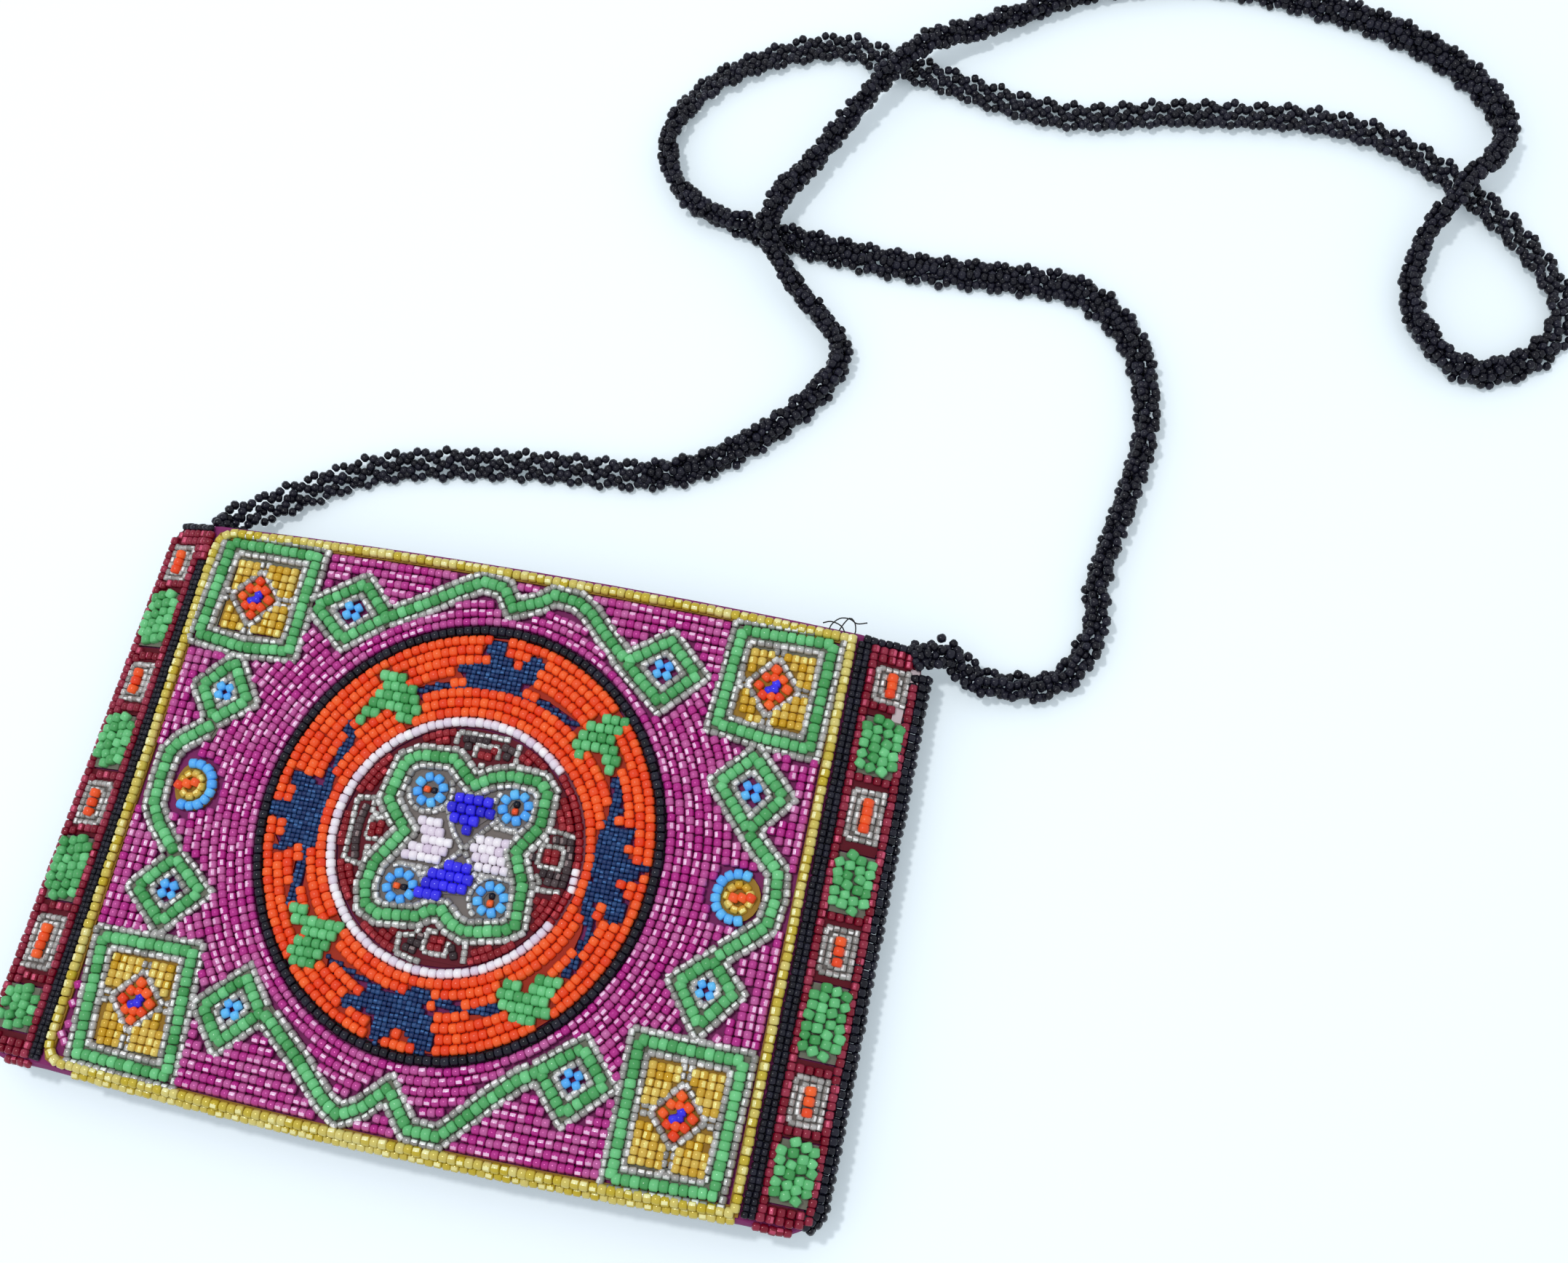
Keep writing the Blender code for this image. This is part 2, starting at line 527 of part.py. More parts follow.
def front_panel(raised):
    """The quilted front: bead ground raised on it, two sloping sides and rolled edges all round."""
    rows = body_outline()
    count = len(rows)
    corners = [Vector(row[0]) for row in rows]
    loops = [list(range(count))]
    marks = ["cloth"]
    for kind, outline in raised:
        line = list(outline) if signed_area(list(outline)) > 0 else list(outline)[::-1]
        loops.append(list(range(len(corners), len(corners) + len(line))))
        corners.extend(Vector(p) for p in line)
        marks.append(kind)
    right_fold = [k for k, row in enumerate(rows) if abs(row[0][0] - FIELD_RIGHT) < 1e-6]
    left_fold = [k for k, row in enumerate(rows) if abs(row[0][0] - fold_x(row[0][1])) < 1e-6]
    folds = [tuple(right_fold), tuple(left_fold)]
    points, _, triangles, _, _, sources = delaunay_2d_cdt(corners, folds, loops, 0, 1e-5)
    vertices, faces, index = [], [], {}

    def vertex(k, height):
        key = (k, height)
        if key not in index:
            index[key] = len(vertices)
            x, y = points[k]
            vertices.append(Vector((x, y, face_height(x, y) + height)))
        return index[key]

    sides = {}
    for triangle, source in zip(triangles, sources):
        inside = {marks[k] for k in source}
        if "cloth" not in inside:
            continue
        level = MAGENTA if "heart" in inside or ("field" in inside and "motif" not in inside) else 0.0
        faces.append([vertex(k, level) for k in triangle])
        for a, b in zip(triangle, triangle[1:] + triangle[:1]):
            sides[(a, b)] = level
    for (a, b), level in sides.items():
        if sides.get((b, a), level) < level:
            faces.append([vertex(b, level), vertex(a, level), vertex(a, 0.0), vertex(b, 0.0)])
    rim = []
    for corner in corners[:count]:
        nearest = min(range(len(points)), key=lambda k: (points[k] - corner).length_squared)
        rim.append(vertex(nearest, 0.0))
    outer = [rim]
    inner = []
    for k in range(3):
        outside, inside = [], []
        for (x, y), weights, way in rows:
            out, height = blended(skirt_levels(x, y), weights, k)
            outside.append(len(vertices))
            vertices.append(Vector((x + way[0] * out, y + way[1] * out, height)))
            inside.append(len(vertices))
            near = out - CLOTH
            vertices.append(Vector((x + way[0] * near, y + way[1] * near, height)))
        outer.append(outside)
        inner.append(inside)
    under = []
    for (x, y), _, way in rows:
        under.append(len(vertices))
        vertices.append(Vector((x - way[0] * CLOTH, y - way[1] * CLOTH, face_height(x, y) - CLOTH)))
    inner.insert(0, under)
    faces += stitched(outer + inner[::-1])
    cuts = sorted(left_fold + right_fold)
    faces.append([under[k] for k in range(cuts[1], cuts[2] + 1)][::-1])
    faces.append([under[k] for k in list(range(cuts[0], cuts[1] + 1)) + list(range(cuts[2], cuts[3] + 1))][::-1])
    faces.append([under[k] for k in list(range(cuts[3], count)) + list(range(cuts[0] + 1))][::-1])
    return add_mesh("front_panel", vertices, faces, "magenta")


def back_panel():
    rows = body_outline()
    count = len(rows)
    vertices, outer, inner = [], [], []
    for k in range(4):
        outside, inside = [], []
        for (x, y), weights, way in rows:
            out, height = blended(back_levels(x, y), weights, k)
            outside.append(len(vertices))
            vertices.append(Vector((x + way[0] * out, y + way[1] * out, height)))
            inside.append(len(vertices))
            near = out - CLOTH
            lift = CLOTH * (1 - k / 3) ** 2
            vertices.append(Vector((x + way[0] * near, y + way[1] * near, height + lift)))
        outer.append(outside)
        inner.append(inside)
    faces = [outer[0][::-1], inner[0][:]]
    faces += stitched(outer[::-1])
    faces += stitched(inner)
    faces += stitched([inner[-1], outer[-1]])
    return add_mesh("back_panel", vertices, faces, "backing")


def rounded_section(x0, x1, z0, z1, radius, steps=4):
    line = []
    for cx, cz, start in ((x1 - radius, z1 - radius, 0), (x0 + radius, z1 - radius, 90),
                          (x0 + radius, z0 + radius, 180), (x1 - radius, z0 + radius, 270)):
        for k in range(steps + 1):
            angle = math.radians(start + 90 * k / steps)
            line.append((cx + radius * math.cos(angle), cz + radius * math.sin(angle)))
    return line


def lining():
    """The pouch: a flat sleeve closed at the bottom and open at the mouth."""
    low = CLOTH + CLEARANCE
    high = CLOTH_TOP - CLOTH - CLEARANCE
    outside = rounded_section(LINING_LEFT, LINING_RIGHT, low, high, LINING_ROUND)
    inside = rounded_section(LINING_LEFT + LINING, LINING_RIGHT - LINING, low + LINING, high - LINING,
                             LINING_ROUND - LINING)
    vertices, loops = [], []
    for section, y in ((outside, LINING_BOTTOM), (outside, LINING_MOUTH), (inside, LINING_MOUTH),
                       (inside, LINING_BOTTOM + LINING)):
        loops.append(list(range(len(vertices), len(vertices) + len(section))))
        vertices.extend(Vector((x, y, z)) for x, z in section)
    faces = stitched(loops)
    faces.append(loops[0])
    faces.append(loops[-1][::-1])
    return add_mesh("lining", vertices, faces, "backing")


# The zip

def extruded(name, outline, y0, y1, slot):
    """A prism along Y from an outline in X and Z, given counterclockwise as seen from -Y."""
    count = len(outline)
    vertices = [Vector((x, y0, z)) for x, z in outline] + [Vector((x, y1, z)) for x, z in outline]
    faces = [list(range(count)), list(range(count, 2 * count))[::-1]]
    faces += [[(k + 1) % count, k, k + count, (k + 1) % count + count] for k in range(count)]
    return add_mesh(name, vertices, faces, slot)


MOUTH = (CLOTH + CLOTH_TOP - CLOTH) / 2
TEETH_Y = LINING_MOUTH + 2.9
TAPE_BACK = TEETH_Y - TAPE / 2
TAPE_FRONT = TEETH_Y + TAPE / 2
LEG_HEIGHT = (CLOTH_TOP - CLOTH) - CLEARANCE - MOUTH


def stringer(name, side):
    """One tape with its row of teeth: side is 1 at the front rim and -1 at the back rim."""
    tip = TEETH_GAP / 2
    valley = tip + TEETH_TALL / 2
    root = tip + TEETH_TALL
    comb = [(ZIP_LEFT, root), (ZIP_LEFT, valley)]
    first = ZIP_LEFT + 0.4 + (0.0 if side > 0 else TEETH_PITCH / 2)
    for k in range(int((ZIP_RIGHT - first - TOOTH) / TEETH_PITCH) + 1):
        start = first + k * TEETH_PITCH
        comb += [(start, valley), (start, tip), (start + TOOTH, tip), (start + TOOTH, valley)]
    comb += [(ZIP_RIGHT, valley), (ZIP_RIGHT, root)]
    teeth = extruded(name, [(x, MOUTH + side * z) for x, z in comb][::side], TEETH_Y - TEETH_THICK / 2,
                     TEETH_Y + TEETH_THICK / 2, "black")
    leg = LEG_HEIGHT
    profile = [(TAPE_BACK, tip + TEETH_TALL * 0.6), (TAPE_FRONT, tip + TEETH_TALL * 0.6), (TAPE_FRONT, leg),
               (TAPE_FRONT - TAPE_LEG, leg), (TAPE_FRONT - TAPE_LEG, leg - TAPE), (TAPE_BACK, leg - TAPE)]
    points = [(y, MOUTH + side * z) for y, z in profile][::side]
    size = len(points)
    vertices = [Vector((ZIP_LEFT - 1.0, y, z)) for y, z in points] + [Vector((ZIP_RIGHT + 1.0, y, z)) for y, z in points]
    faces = [list(range(size))[::-1], list(range(size, 2 * size))]
    faces += [[k, (k + 1) % size, (k + 1) % size + size, k + size] for k in range(size)]
    tape = add_mesh(name + "_tape", vertices, faces, "black")
    return joined(teeth, tape)


def joined(first, *others):
    """First with the others united into it, as one closed solid."""
    for other in others:
        union = first.modifiers.new("union", "BOOLEAN")
        union.operation = "UNION"
        union.solver = "EXACT"
        union.object = other
    bpy.context.view_layer.update()
    shape = bpy.data.meshes.new_from_object(first.evaluated_get(bpy.context.evaluated_depsgraph_get()))
    first.modifiers.clear()
    first.data = shape
    for other in others:
        bpy.data.objects.remove(other, do_unlink=True)
    return first


def block(name, low, high, slot, at=(0.0, 0.0, 0.0)):
    (x0, y0, z0), (x1, y1, z1) = low, high
    vertices = [(x, y, z) for z in (z0, z1) for x, y in ((x0, y0), (x1, y0), (x1, y1), (x0, y1))]
    faces = [(3, 2, 1, 0), (4, 5, 6, 7), (0, 1, 5, 4), (1, 2, 6, 5), (2, 3, 7, 6), (3, 0, 4, 7)]
    return add_mesh(name, vertices, faces, slot, at)


SLIDER_X = ZIP_RIGHT - 3.0 - SLIDER_LENGTH / 2
OUTER_PLATE = TEETH_THICK / 2 + CLEARANCE      # measured out from the middle of the teeth
ARCH_BASE = OUTER_PLATE + SLIDER_PLATE
PULL_Y = ARCH_BASE + CLEARANCE + PULL_BAR / 2


def slider():
    """Two plates joined by a neck that runs between the rows, with flanges beside the teeth and an arch."""
    half = SLIDER_LENGTH / 2
    tall = SLIDER_TALL / 2
    shelf = TAPE / 2 + CLEARANCE
    at = (SLIDER_X, TEETH_Y, MOUTH)
    body = block("zip_slider", (-half, OUTER_PLATE, -tall), (half, ARCH_BASE, tall), "brass", at)
    parts = [block("inner", (-half, -ARCH_BASE, -tall), (half, -OUTER_PLATE, tall), "brass", at),
             block("neck", (-half, -ARCH_BASE + 0.2, -NECK / 2), (-half + NECK_LENGTH, ARCH_BASE - 0.2, NECK / 2),
                   "brass", at)]
    for side in (-1, 1):
        low, high = sorted((side * (tall - FLANGE), side * tall))
        parts.append(block("flange", (-half, shelf, low), (half, OUTER_PLATE + 0.2, high), "brass", at))
        parts.append(block("flange", (-half, -OUTER_PLATE - 0.2, low), (half, -shelf, high), "brass", at))
        left, right = sorted((side * ARCH_HALF, side * (ARCH_HALF - ARCH_BAR)))
        parts.append(block("leg", (left, ARCH_BASE - 0.2, -ARCH_WIDE / 2),
                           (right, PULL_Y + PULL_BAR / 2 + CLEARANCE + ARCH_BAR / 2, ARCH_WIDE / 2), "brass", at))
    top = PULL_Y + PULL_BAR / 2 + CLEARANCE
    parts.append(block("beam", (-ARCH_HALF, top, -ARCH_WIDE / 2), (ARCH_HALF, top + ARCH_BAR, ARCH_WIDE / 2),
                       "brass", at))
    return joined(body, *parts)


def pull():
    """The tab: a round bar under the slider's arch, two rails and a plain tongue."""
    half = PULL_BAR / 2
    wide = PULL_WIDE / 2
    eye = ARCH_WIDE / 2 + CLEARANCE
    outline = [(0.0, -wide), (PULL_LENGTH - 1.5, -wide), (PULL_LENGTH, -wide + 1.2), (PULL_LENGTH, wide - 1.2),
               (PULL_LENGTH - 1.5, wide), (0.0, wide)]
    hole = box_outline(half, -eye, PULL_EYE, eye)
    tab = relief("zip_pull", [([outline], [hole], PULL_THICK / 2)], "brass",
                 surface=lambda x, y, h: Vector((-x, h, y)), low=-PULL_THICK / 2)
    tab.location = Vector((SLIDER_X, TEETH_Y + PULL_Y, MOUTH)) * MM
    ring = [(half * math.cos(math.pi * k / 8), half * math.sin(math.pi * k / 8)) for k in range(16)]
    vertices = [Vector((x, y, z)) for z in (0.15 - wide, wide - 0.15) for x, y in ring]
    faces = [list(range(16))[::-1], list(range(16, 32))]
    faces += [[k, (k + 1) % 16, (k + 1) % 16 + 16, k + 16] for k in range(16)]
    bar = add_mesh("bar", vertices, faces, "brass", (SLIDER_X, TEETH_Y + PULL_Y, MOUTH))
    return joined(tab, bar)


# Seam edging, strap and its sewn ends

def swept(name, path, radius, slot):
    curve = bpy.data.curves.new(name, "CURVE")
    curve.dimensions = "3D"
    curve.bevel_depth = radius * MM
    curve.bevel_resolution = 2
    curve.use_fill_caps = True
    spline = curve.splines.new("POLY")
    spline.points.add(len(path) - 1)
    for target, point in zip(spline.points, path):
        target.co = (*(Vector(point) * MM), 1.0)
    curve.materials.append(material(slot))
    thing = bpy.data.objects.new(name, curve)
    thing.parent = origin
    bpy.context.scene.collection.objects.link(thing)
    return thing


def edging():
    """The whipped bead edging outside the right seam, which runs on round the bottom corner."""
    path = []
    for (x, y), weights, way in body_outline():
        if way[0] < (0.3 if y < 0 else 0.98):
            continue
        out, _ = blended(skirt_levels(x, y), weights, 2)
        far = out + CLEARANCE + EDGING
        path.append((x + way[0] * far, y + way[1] * far, SEAM_HEIGHT - 0.4))
    return swept("edging_right", path, EDGING, "black")


def smooth_route(points, count):
    """Points evenly spread along a smooth curve that passes through the given ones."""
    knots = [Vector(p) for p in points]
    fine = []
    for k in range(len(knots) - 1):
        a = knots[max(k - 1, 0)]
        b, c = knots[k], knots[k + 1]
        d = knots[min(k + 2, len(knots) - 1)]
        for step in range(16):
            t = step / 16
            fine.append(0.5 * ((2 * b) + (c - a) * t + (2 * a - 5 * b + 4 * c - d) * t * t
                               + (3 * b - 3 * c + d - a) * t * t * t))
    fine.append(knots[-1])
    lengths = [0.0]
    for p, q in zip(fine, fine[1:]):
        lengths.append(lengths[-1] + (q - p).length)
    spread = []
    at = 0
    count = round(count)
    for k in range(count):
        target = lengths[-1] * k / (count - 1)
        while at < len(lengths) - 2 and lengths[at + 1] < target:
            at += 1
        part = (target - lengths[at]) / (lengths[at + 1] - lengths[at])
        spread.append(fine[at].lerp(fine[at + 1], part))
        spread[-1].z = max(spread[-1].z, TABLE)
    return spread


def strap():
    route = smooth_route(STRAP_ROUTE, STRAP_POINTS)
    swept("strap", route, STRAP / 2, "black")
    strap_end("strap_end_left", route[0], route[1])
    strap_end("strap_end_right", route[-1], route[-2])


def strap_end(name, end, after):
    """The strap's sewn end: a small rounded tab of beads that carries its line on to the bag's corner."""
    way = (end - after).normalized()
    start = end + way * CLEARANCE
    side = Vector((0.0, 0.0, 1.0)).cross(way).normalized()
    up = way.cross(side)
    vertices, loops = [], []
    for part, scale in ((0.0, 0.8), (0.25, 1.0), (0.75, 1.0), (1.0, 0.75)):
        loop = []
        for k in range(8):
            angle = math.pi / 4 * (k + 0.5)
            loop.append(len(vertices))
            vertices.append(start + way * END_LONG * part + side * END_WIDE / 2 * scale * math.cos(angle)
                            + up * END_THICK / 2 * scale * math.sin(angle))
        loops.append(loop)
    faces = stitched(loops)
    faces = [face[::-1] for face in faces]
    faces += [loops[0][::-1], loops[-1]]
    return add_mesh(name, vertices, faces, "black")


# The beadwork, field by field

def held_in(line):
    """The middle line of a green row, held back so that its silver rows stay inside the yellow row."""
    reach = GREEN_ROW / 2 + OUTER_SILVER + YELLOW_ROW + 3 * CLEARANCE
    held = []
    for x, y in line:
        part = (x - FIELD_LEFT) / (FIELD_RIGHT - FIELD_LEFT)
        swell = 4 * part * (1 - part)
        top = FIELD_TOP + TOP_BOW * swell - reach
        bottom = FIELD_BOTTOM - BOTTOM_BOW * swell + reach
        held.append((min(max(x, fold_x(y) + reach), FIELD_RIGHT - reach), min(max(y, bottom), top)))
    return held


def corner_square(name):
    line, middle = CORNERS[name]
    line = held_in(line)
    inner = shifted(line, -GREEN_ROW / 2 - SILVER_ROW)
    frame = [([shifted(line, GREEN_ROW / 2 + OUTER_SILVER)], [inner], SILVER), ring_layer(line, GREEN_ROW, GREEN)]
    relief("corner_frame_" + name, frame, "green")
    fill = shifted(inner, -CLEARANCE)
    wide, tall = CORNER_DIAMOND
    layers = [([fill], [], MAGENTA), ([diamond_outline(middle, wide + SILVER_ROW, tall + SILVER_ROW)], [], SILVER),
              ([diamond_outline(middle, wide, tall)], [], ORANGE),
              ([diamond_outline(middle, wide * 0.3, tall * 0.3)], [], BLUE)]
    relief("corner_fill_" + name, layers, "yellow")


def vine(name):
    line, diamonds = VINES[name]
    line = held_in(line)
    reach = GREEN_ROW / 2 + OUTER_SILVER
    hearts = [shifted(diamond, -reach) for diamond in diamonds]
    holes = [shifted(diamond, -GREEN_ROW / 2) for diamond in diamonds]
    layers = [([row_outline(line, 2 * reach)] + [shifted(diamond, reach) for diamond in diamonds], hearts, SILVER),
              ([row_outline(line, GREEN_ROW)] + [shifted(diamond, GREEN_ROW / 2) for diamond in diamonds], holes, GREEN),
              (hearts, [], None)]
    relief("vine_" + name, layers, "green")


def eye(name):
    middle, half = EYES[name]
    inner = (half[0] - EYE_ROW, half[1] - EYE_ROW)
    layers = [([oval(middle, half, 20)], [], BLUE), ([oval(middle, inner, 16)], [], YELLOW),
              ([oval(middle, (inner[0] * 0.55, inner[1] * 0.4), 10)], [], ORANGE)]
    relief("eye_" + name, layers, "blue")


def medallion():
    row = BLACK_RING_ROW / 2
    gap = Vector((CLEARANCE, CLEARANCE))
    black = ([oval(MEDALLION, BLACK_RING + Vector((row, row)))], [oval(MEDALLION, BLACK_RING - Vector((row, row)))], BLACK)
    relief("ring_black", [black], "black")
    thin = PINK_ROW / 2
    rim = oval(MEDALLION, BLACK_RING - Vector((row, row)) - gap)
    well = oval(ROSETTE, PINK_RING + Vector((thin, thin)) + gap)
    figures = [shifted(figure, CLEARANCE) for figure in FIGURES.values()]
    relief("ring_orange", [([rim], [well] + figures, ORANGE), (LEAVES, [well] + figures, GREEN)], "orange")
    for name, figure in FIGURES.items():
        relief("figure_" + name, [([figure], [], NAVY)], "navy")
    pink = ([oval(ROSETTE, PINK_RING + Vector((thin, thin)))], [oval(ROSETTE, PINK_RING - Vector((thin, thin)))], PINK)
    relief("ring_pink", [pink], "pink")
    ground = oval(ROSETTE, PINK_RING - Vector((thin, thin)) - gap)
    reach = GREEN_ROW / 2 + SILVER_ROW
    outside = shifted(QUATREFOIL, reach + CLEARANCE)
    relief("rosette_ground", [([ground], [outside], SILVER), (STEPS, [outside], MAGENTA)], "red")
    foil = [([shifted(QUATREFOIL, reach)], [shifted(QUATREFOIL, -reach)], SILVER), ring_layer(QUATREFOIL, GREEN_ROW, GREEN)]
    relief("quatrefoil", foil, "green")
    heart = shifted(QUATREFOIL, -reach - CLEARANCE)
    layers = [([heart], [], SILVER), (PINK_FANS, [], PINK), (BLUE_WEDGES, [], BLUE)]
    for middle in FLOWERS:
        layers.append(([oval(middle, (FLOWER_RADIUS, FLOWER_RADIUS), 12)], [], GREEN))
        layers.append(([oval(middle, (FLOWER_RADIUS * 0.4, FLOWER_RADIUS * 0.4), 8)], [], SILVER))
    relief("rosette_heart", layers, "silver")


def face_outline(inset):
    """The level face pulled in by inset, with its corners cut as the yellow row turns them."""
    low_left, top_left = fold_x(FIELD_BOTTOM) + inset, fold_x(FIELD_TOP) + inset
    right, top, bottom = FIELD_RIGHT - inset, FIELD_TOP - inset, FIELD_BOTTOM + inset
    cut = max(0.8, 2.4 - 0.6 * inset)
    points = [(low_left, bottom + cut), (low_left + cut * 0.3, bottom + cut * 0.3), (low_left + cut, bottom)]
    for k in range(1, 8):
        part = k / 8
        points.append((low_left + (right - low_left) * part, bottom - BOTTOM_BOW * 4 * part * (1 - part)))
    points += [(right, bottom), (right, top)]
    for k in range(1, 8):
        part = k / 8
        points.append((right + (top_left - right) * part, top + TOP_BOW * 4 * part * (1 - part)))
    points += [(top_left + cut, top), (top_left + cut * 0.3, top - cut * 0.3), (top_left, top - cut)]
    return points


def right_band():
    start = FIELD_RIGHT + CLEARANCE
    top, bottom = FIELD_TOP - 1.0, FIELD_BOTTOM + 0.6
    relief("black_line_right", [([box_outline(start, bottom, start + BLACK_LINE, top)], [], BLACK)], "black", on_slope)
    left = start + BLACK_LINE + CLEARANCE
    right = left + RIGHT_BAND
    windows = []
    for number, (y, half) in enumerate(RIGHT_BLOCKS):
        margin = GREEN_MARGIN if number % 2 else RED_ROW
        window = box_outline(left + margin, y - half, right - margin, y + half)
        windows.append(window)
        block_relief("right", number, shifted(window, -CLEARANCE), on_slope)
    cut = RED_ROW
    shape = [(left, bottom), (right - cut, bottom), (right, bottom + cut), (right, top - cut), (right - cut, top), (left, top)]
    relief("band_right", [([shape], windows, RED)], "red", on_slope)


def block_relief(side, number, outline, surface, flip=False):
    xs = [p[0] for p in outline]
    ys = [p[1] for p in outline]
    middle = (min(xs) + max(xs)) / 2
    if number % 2:
        relief("green_block_%s_%d" % (side, number // 2 + 1), [([outline], [], GREEN)], "green", surface, flip=flip)
        return
    inset = (max(ys) - min(ys)) * 0.22
    bar = box_outline(middle - BLOCK_BAR, min(ys) + inset, middle + BLOCK_BAR, max(ys) - inset)
    relief("silver_block_%s_%d" % (side, number // 2 + 1), [([outline], [], SILVER), ([bar], [], ORANGE)], "silver",
           surface, flip=flip)


def left_band():
    """The same on the left slope, where x is the depth below the fold."""
    start = CLEARANCE
    top, bottom = FIELD_TOP - 1.0, FIELD_BOTTOM + 0.6
    line = box_outline(start, bottom, start + BLACK_LINE, top)
    relief("black_line_left", [([line], [], BLACK)], "black", on_left, flip=True)
    near = start + BLACK_LINE + CLEARANCE
    far = LEFT_WIDTH
    windows = []
    for number, (y, half) in enumerate(LEFT_BLOCKS):
        margin = GREEN_MARGIN if number % 2 else RED_ROW
        window = box_outline(near + margin, y - half, far - margin, y + half)
        windows.append(window)
        block_relief("left", number, shifted(window, -CLEARANCE), on_left, flip=True)
    low, cut = LEFT_CORNER, RED_ROW
    shape = [(near, bottom), (far - low, bottom), (far - low * 0.3, bottom + low * 0.3), (far, bottom + low),
             (far, top - cut), (far - cut, top), (near, top)]
    relief("band_left", [([shape], windows, RED)], "red", on_left, flip=True)


def raised_ground():
    """Outlines for the front panel: the magenta field, the motifs that it leaves free, and diamond hearts."""
    inside = YELLOW_ROW + CLEARANCE * 3
    reach = GREEN_ROW / 2 + OUTER_SILVER + CLEARANCE
    outlines = [("field", face_outline(inside))]
    for line, _ in CORNERS.values():
        outlines.append(("motif", shifted(held_in(line), reach)))
    for line, diamonds in VINES.values():
        outlines.append(("motif", row_outline(lengthened(held_in(line), CLEARANCE), 2 * reach)))
        for diamond in diamonds:
            outlines.append(("motif", shifted(diamond, reach)))
            outlines.append(("heart", shifted(diamond, -reach)))
    for middle, half in EYES.values():
        outlines.append(("motif", oval(middle, (half[0] + CLEARANCE, half[1] + CLEARANCE), 20)))
    wide = BLACK_RING_ROW / 2 + CLEARANCE
    outlines.append(("motif", oval(MEDALLION, BLACK_RING + Vector((wide, wide)))))
    return outlines


def main():
    clear_scene()
    front_panel(raised_ground())
    back_panel()
    lining()
    inset = CLEARANCE
    relief("border_yellow", [([face_outline(inset)], [face_outline(inset + YELLOW_ROW)], YELLOW)], "yellow")
    right_band()
    left_band()
    for name in CORNERS:
        corner_square(name)
    for name in VINES:
        vine(name)
    for name in EYES:
        eye(name)
    medallion()
    stringer("zip_front", 1)
    stringer("zip_back", -1)
    slider()
    pull()
    edging()
    strap()
    foot = fold_x(FIELD_BOTTOM) - left_run(FIELD_BOTTOM) - LEFT_ROLL
    end = FIELD_RIGHT + SLOPE_RUN + RIGHT_ROLL + CLEARANCE + 2 * EDGING
    middle = (FIELD_TOP + FIELD_BOTTOM) / 2
    origin.location = Vector((-(foot + end) / 2, -middle, 0.0)) * MM
    bpy.context.view_layer.update()


main()
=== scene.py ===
"""Looks of the beaded belt bag: every bead row, the netted strap, cloth, zip, light and camera.

Lengths are in millimetres in the frame of the part's source, whose face pattern is measured from the
middle of the yellow bead frame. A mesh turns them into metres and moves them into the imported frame.
"""
import random
from math import atan2, cos, hypot, pi, radians, sin, sqrt, tan

import bpy
from mathutils import Matrix, Vector


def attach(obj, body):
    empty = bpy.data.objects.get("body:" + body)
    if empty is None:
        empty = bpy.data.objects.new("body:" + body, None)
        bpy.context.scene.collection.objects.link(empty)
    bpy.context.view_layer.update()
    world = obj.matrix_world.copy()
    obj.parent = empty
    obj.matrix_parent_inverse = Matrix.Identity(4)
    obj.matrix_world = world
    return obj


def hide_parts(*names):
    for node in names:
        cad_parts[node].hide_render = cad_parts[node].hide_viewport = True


MM = 0.001
SHIFT = Vector((2.392, -0.4, 0.0))       # from the pattern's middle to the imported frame
UPWARDS = Vector((0.0, 0.0, 1.0))
chance = random.Random(11)


def jitter(reach):
    return chance.uniform(-reach, reach)


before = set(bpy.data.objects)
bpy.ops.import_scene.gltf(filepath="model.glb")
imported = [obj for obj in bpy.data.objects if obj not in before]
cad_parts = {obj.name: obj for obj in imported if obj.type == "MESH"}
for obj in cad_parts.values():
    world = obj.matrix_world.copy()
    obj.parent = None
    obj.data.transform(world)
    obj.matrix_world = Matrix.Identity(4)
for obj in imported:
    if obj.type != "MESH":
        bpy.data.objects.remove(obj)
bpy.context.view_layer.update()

# The surfaces, as in the part's source
FIELD_LEFT, FIELD_RIGHT, FIELD_TOP, FIELD_BOTTOM = -67.0, 62.8, 53.0, -52.2
TOP_BOW, BOTTOM_BOW = 1.5, 1.6
LEFT_SKEW = 0.0275
CLOTH_TOP = 11.2
SLOPE = atan2(3.6, 10.8)
LEFT_RUN, LEFT_SPREAD = 11.2, 0.045
LEFT_WIDTH = LEFT_RUN / cos(SLOPE)

# Bead kinds: pitch along the thread, width across it, height of its middle above the cloth
KINDS = {
    "magenta": (1.5, 1.72, 0.85),
    "silver": (1.5, 1.52, 0.8),
    "green": (1.72, 2.15, 1.1),
    "orange": (1.6, 1.98, 1.0),
    "amber": (1.5, 1.7, 0.85),
    "yellow": (1.6, 1.9, 0.95),
    "red": (1.5, 1.7, 0.85),
    "black": (1.5, 1.75, 0.9),
    "pink": (1.55, 1.85, 0.95),
    "navy": (0.9, 1.0, 0.55),
    "sky": (1.65, 2.0, 1.05),
    "royal": (1.75, 2.1, 1.15),
    "deep": (1.4, 1.65, 0.75),
    "brown": (1.4, 1.65, 0.75),
}
beads = {}

FIRST_ROW = 3.2             # from the edge of the face to the first magenta row
FREE = 2.6                  # from a green line to the nearest magenta bead
BESIDE = 1.78               # from a green line to the silver row beside it
BLACK_OVAL = (37.6, 39.9)   # half sizes of the medallion's rings
PINK_OVAL = (23.5, 23.3)
GROUND_OVAL = (39.45, 41.75)
STRAP_BEAD = (1.46, 1.76)   # along and across
BASE_SHARE = 0.4            # height of the base under the beads, as a share of its node's
AROUND = 6                  # sides of a bead


def on_face(x, y, height):
    return Vector((x, y, CLOTH_TOP + height)), UPWARDS


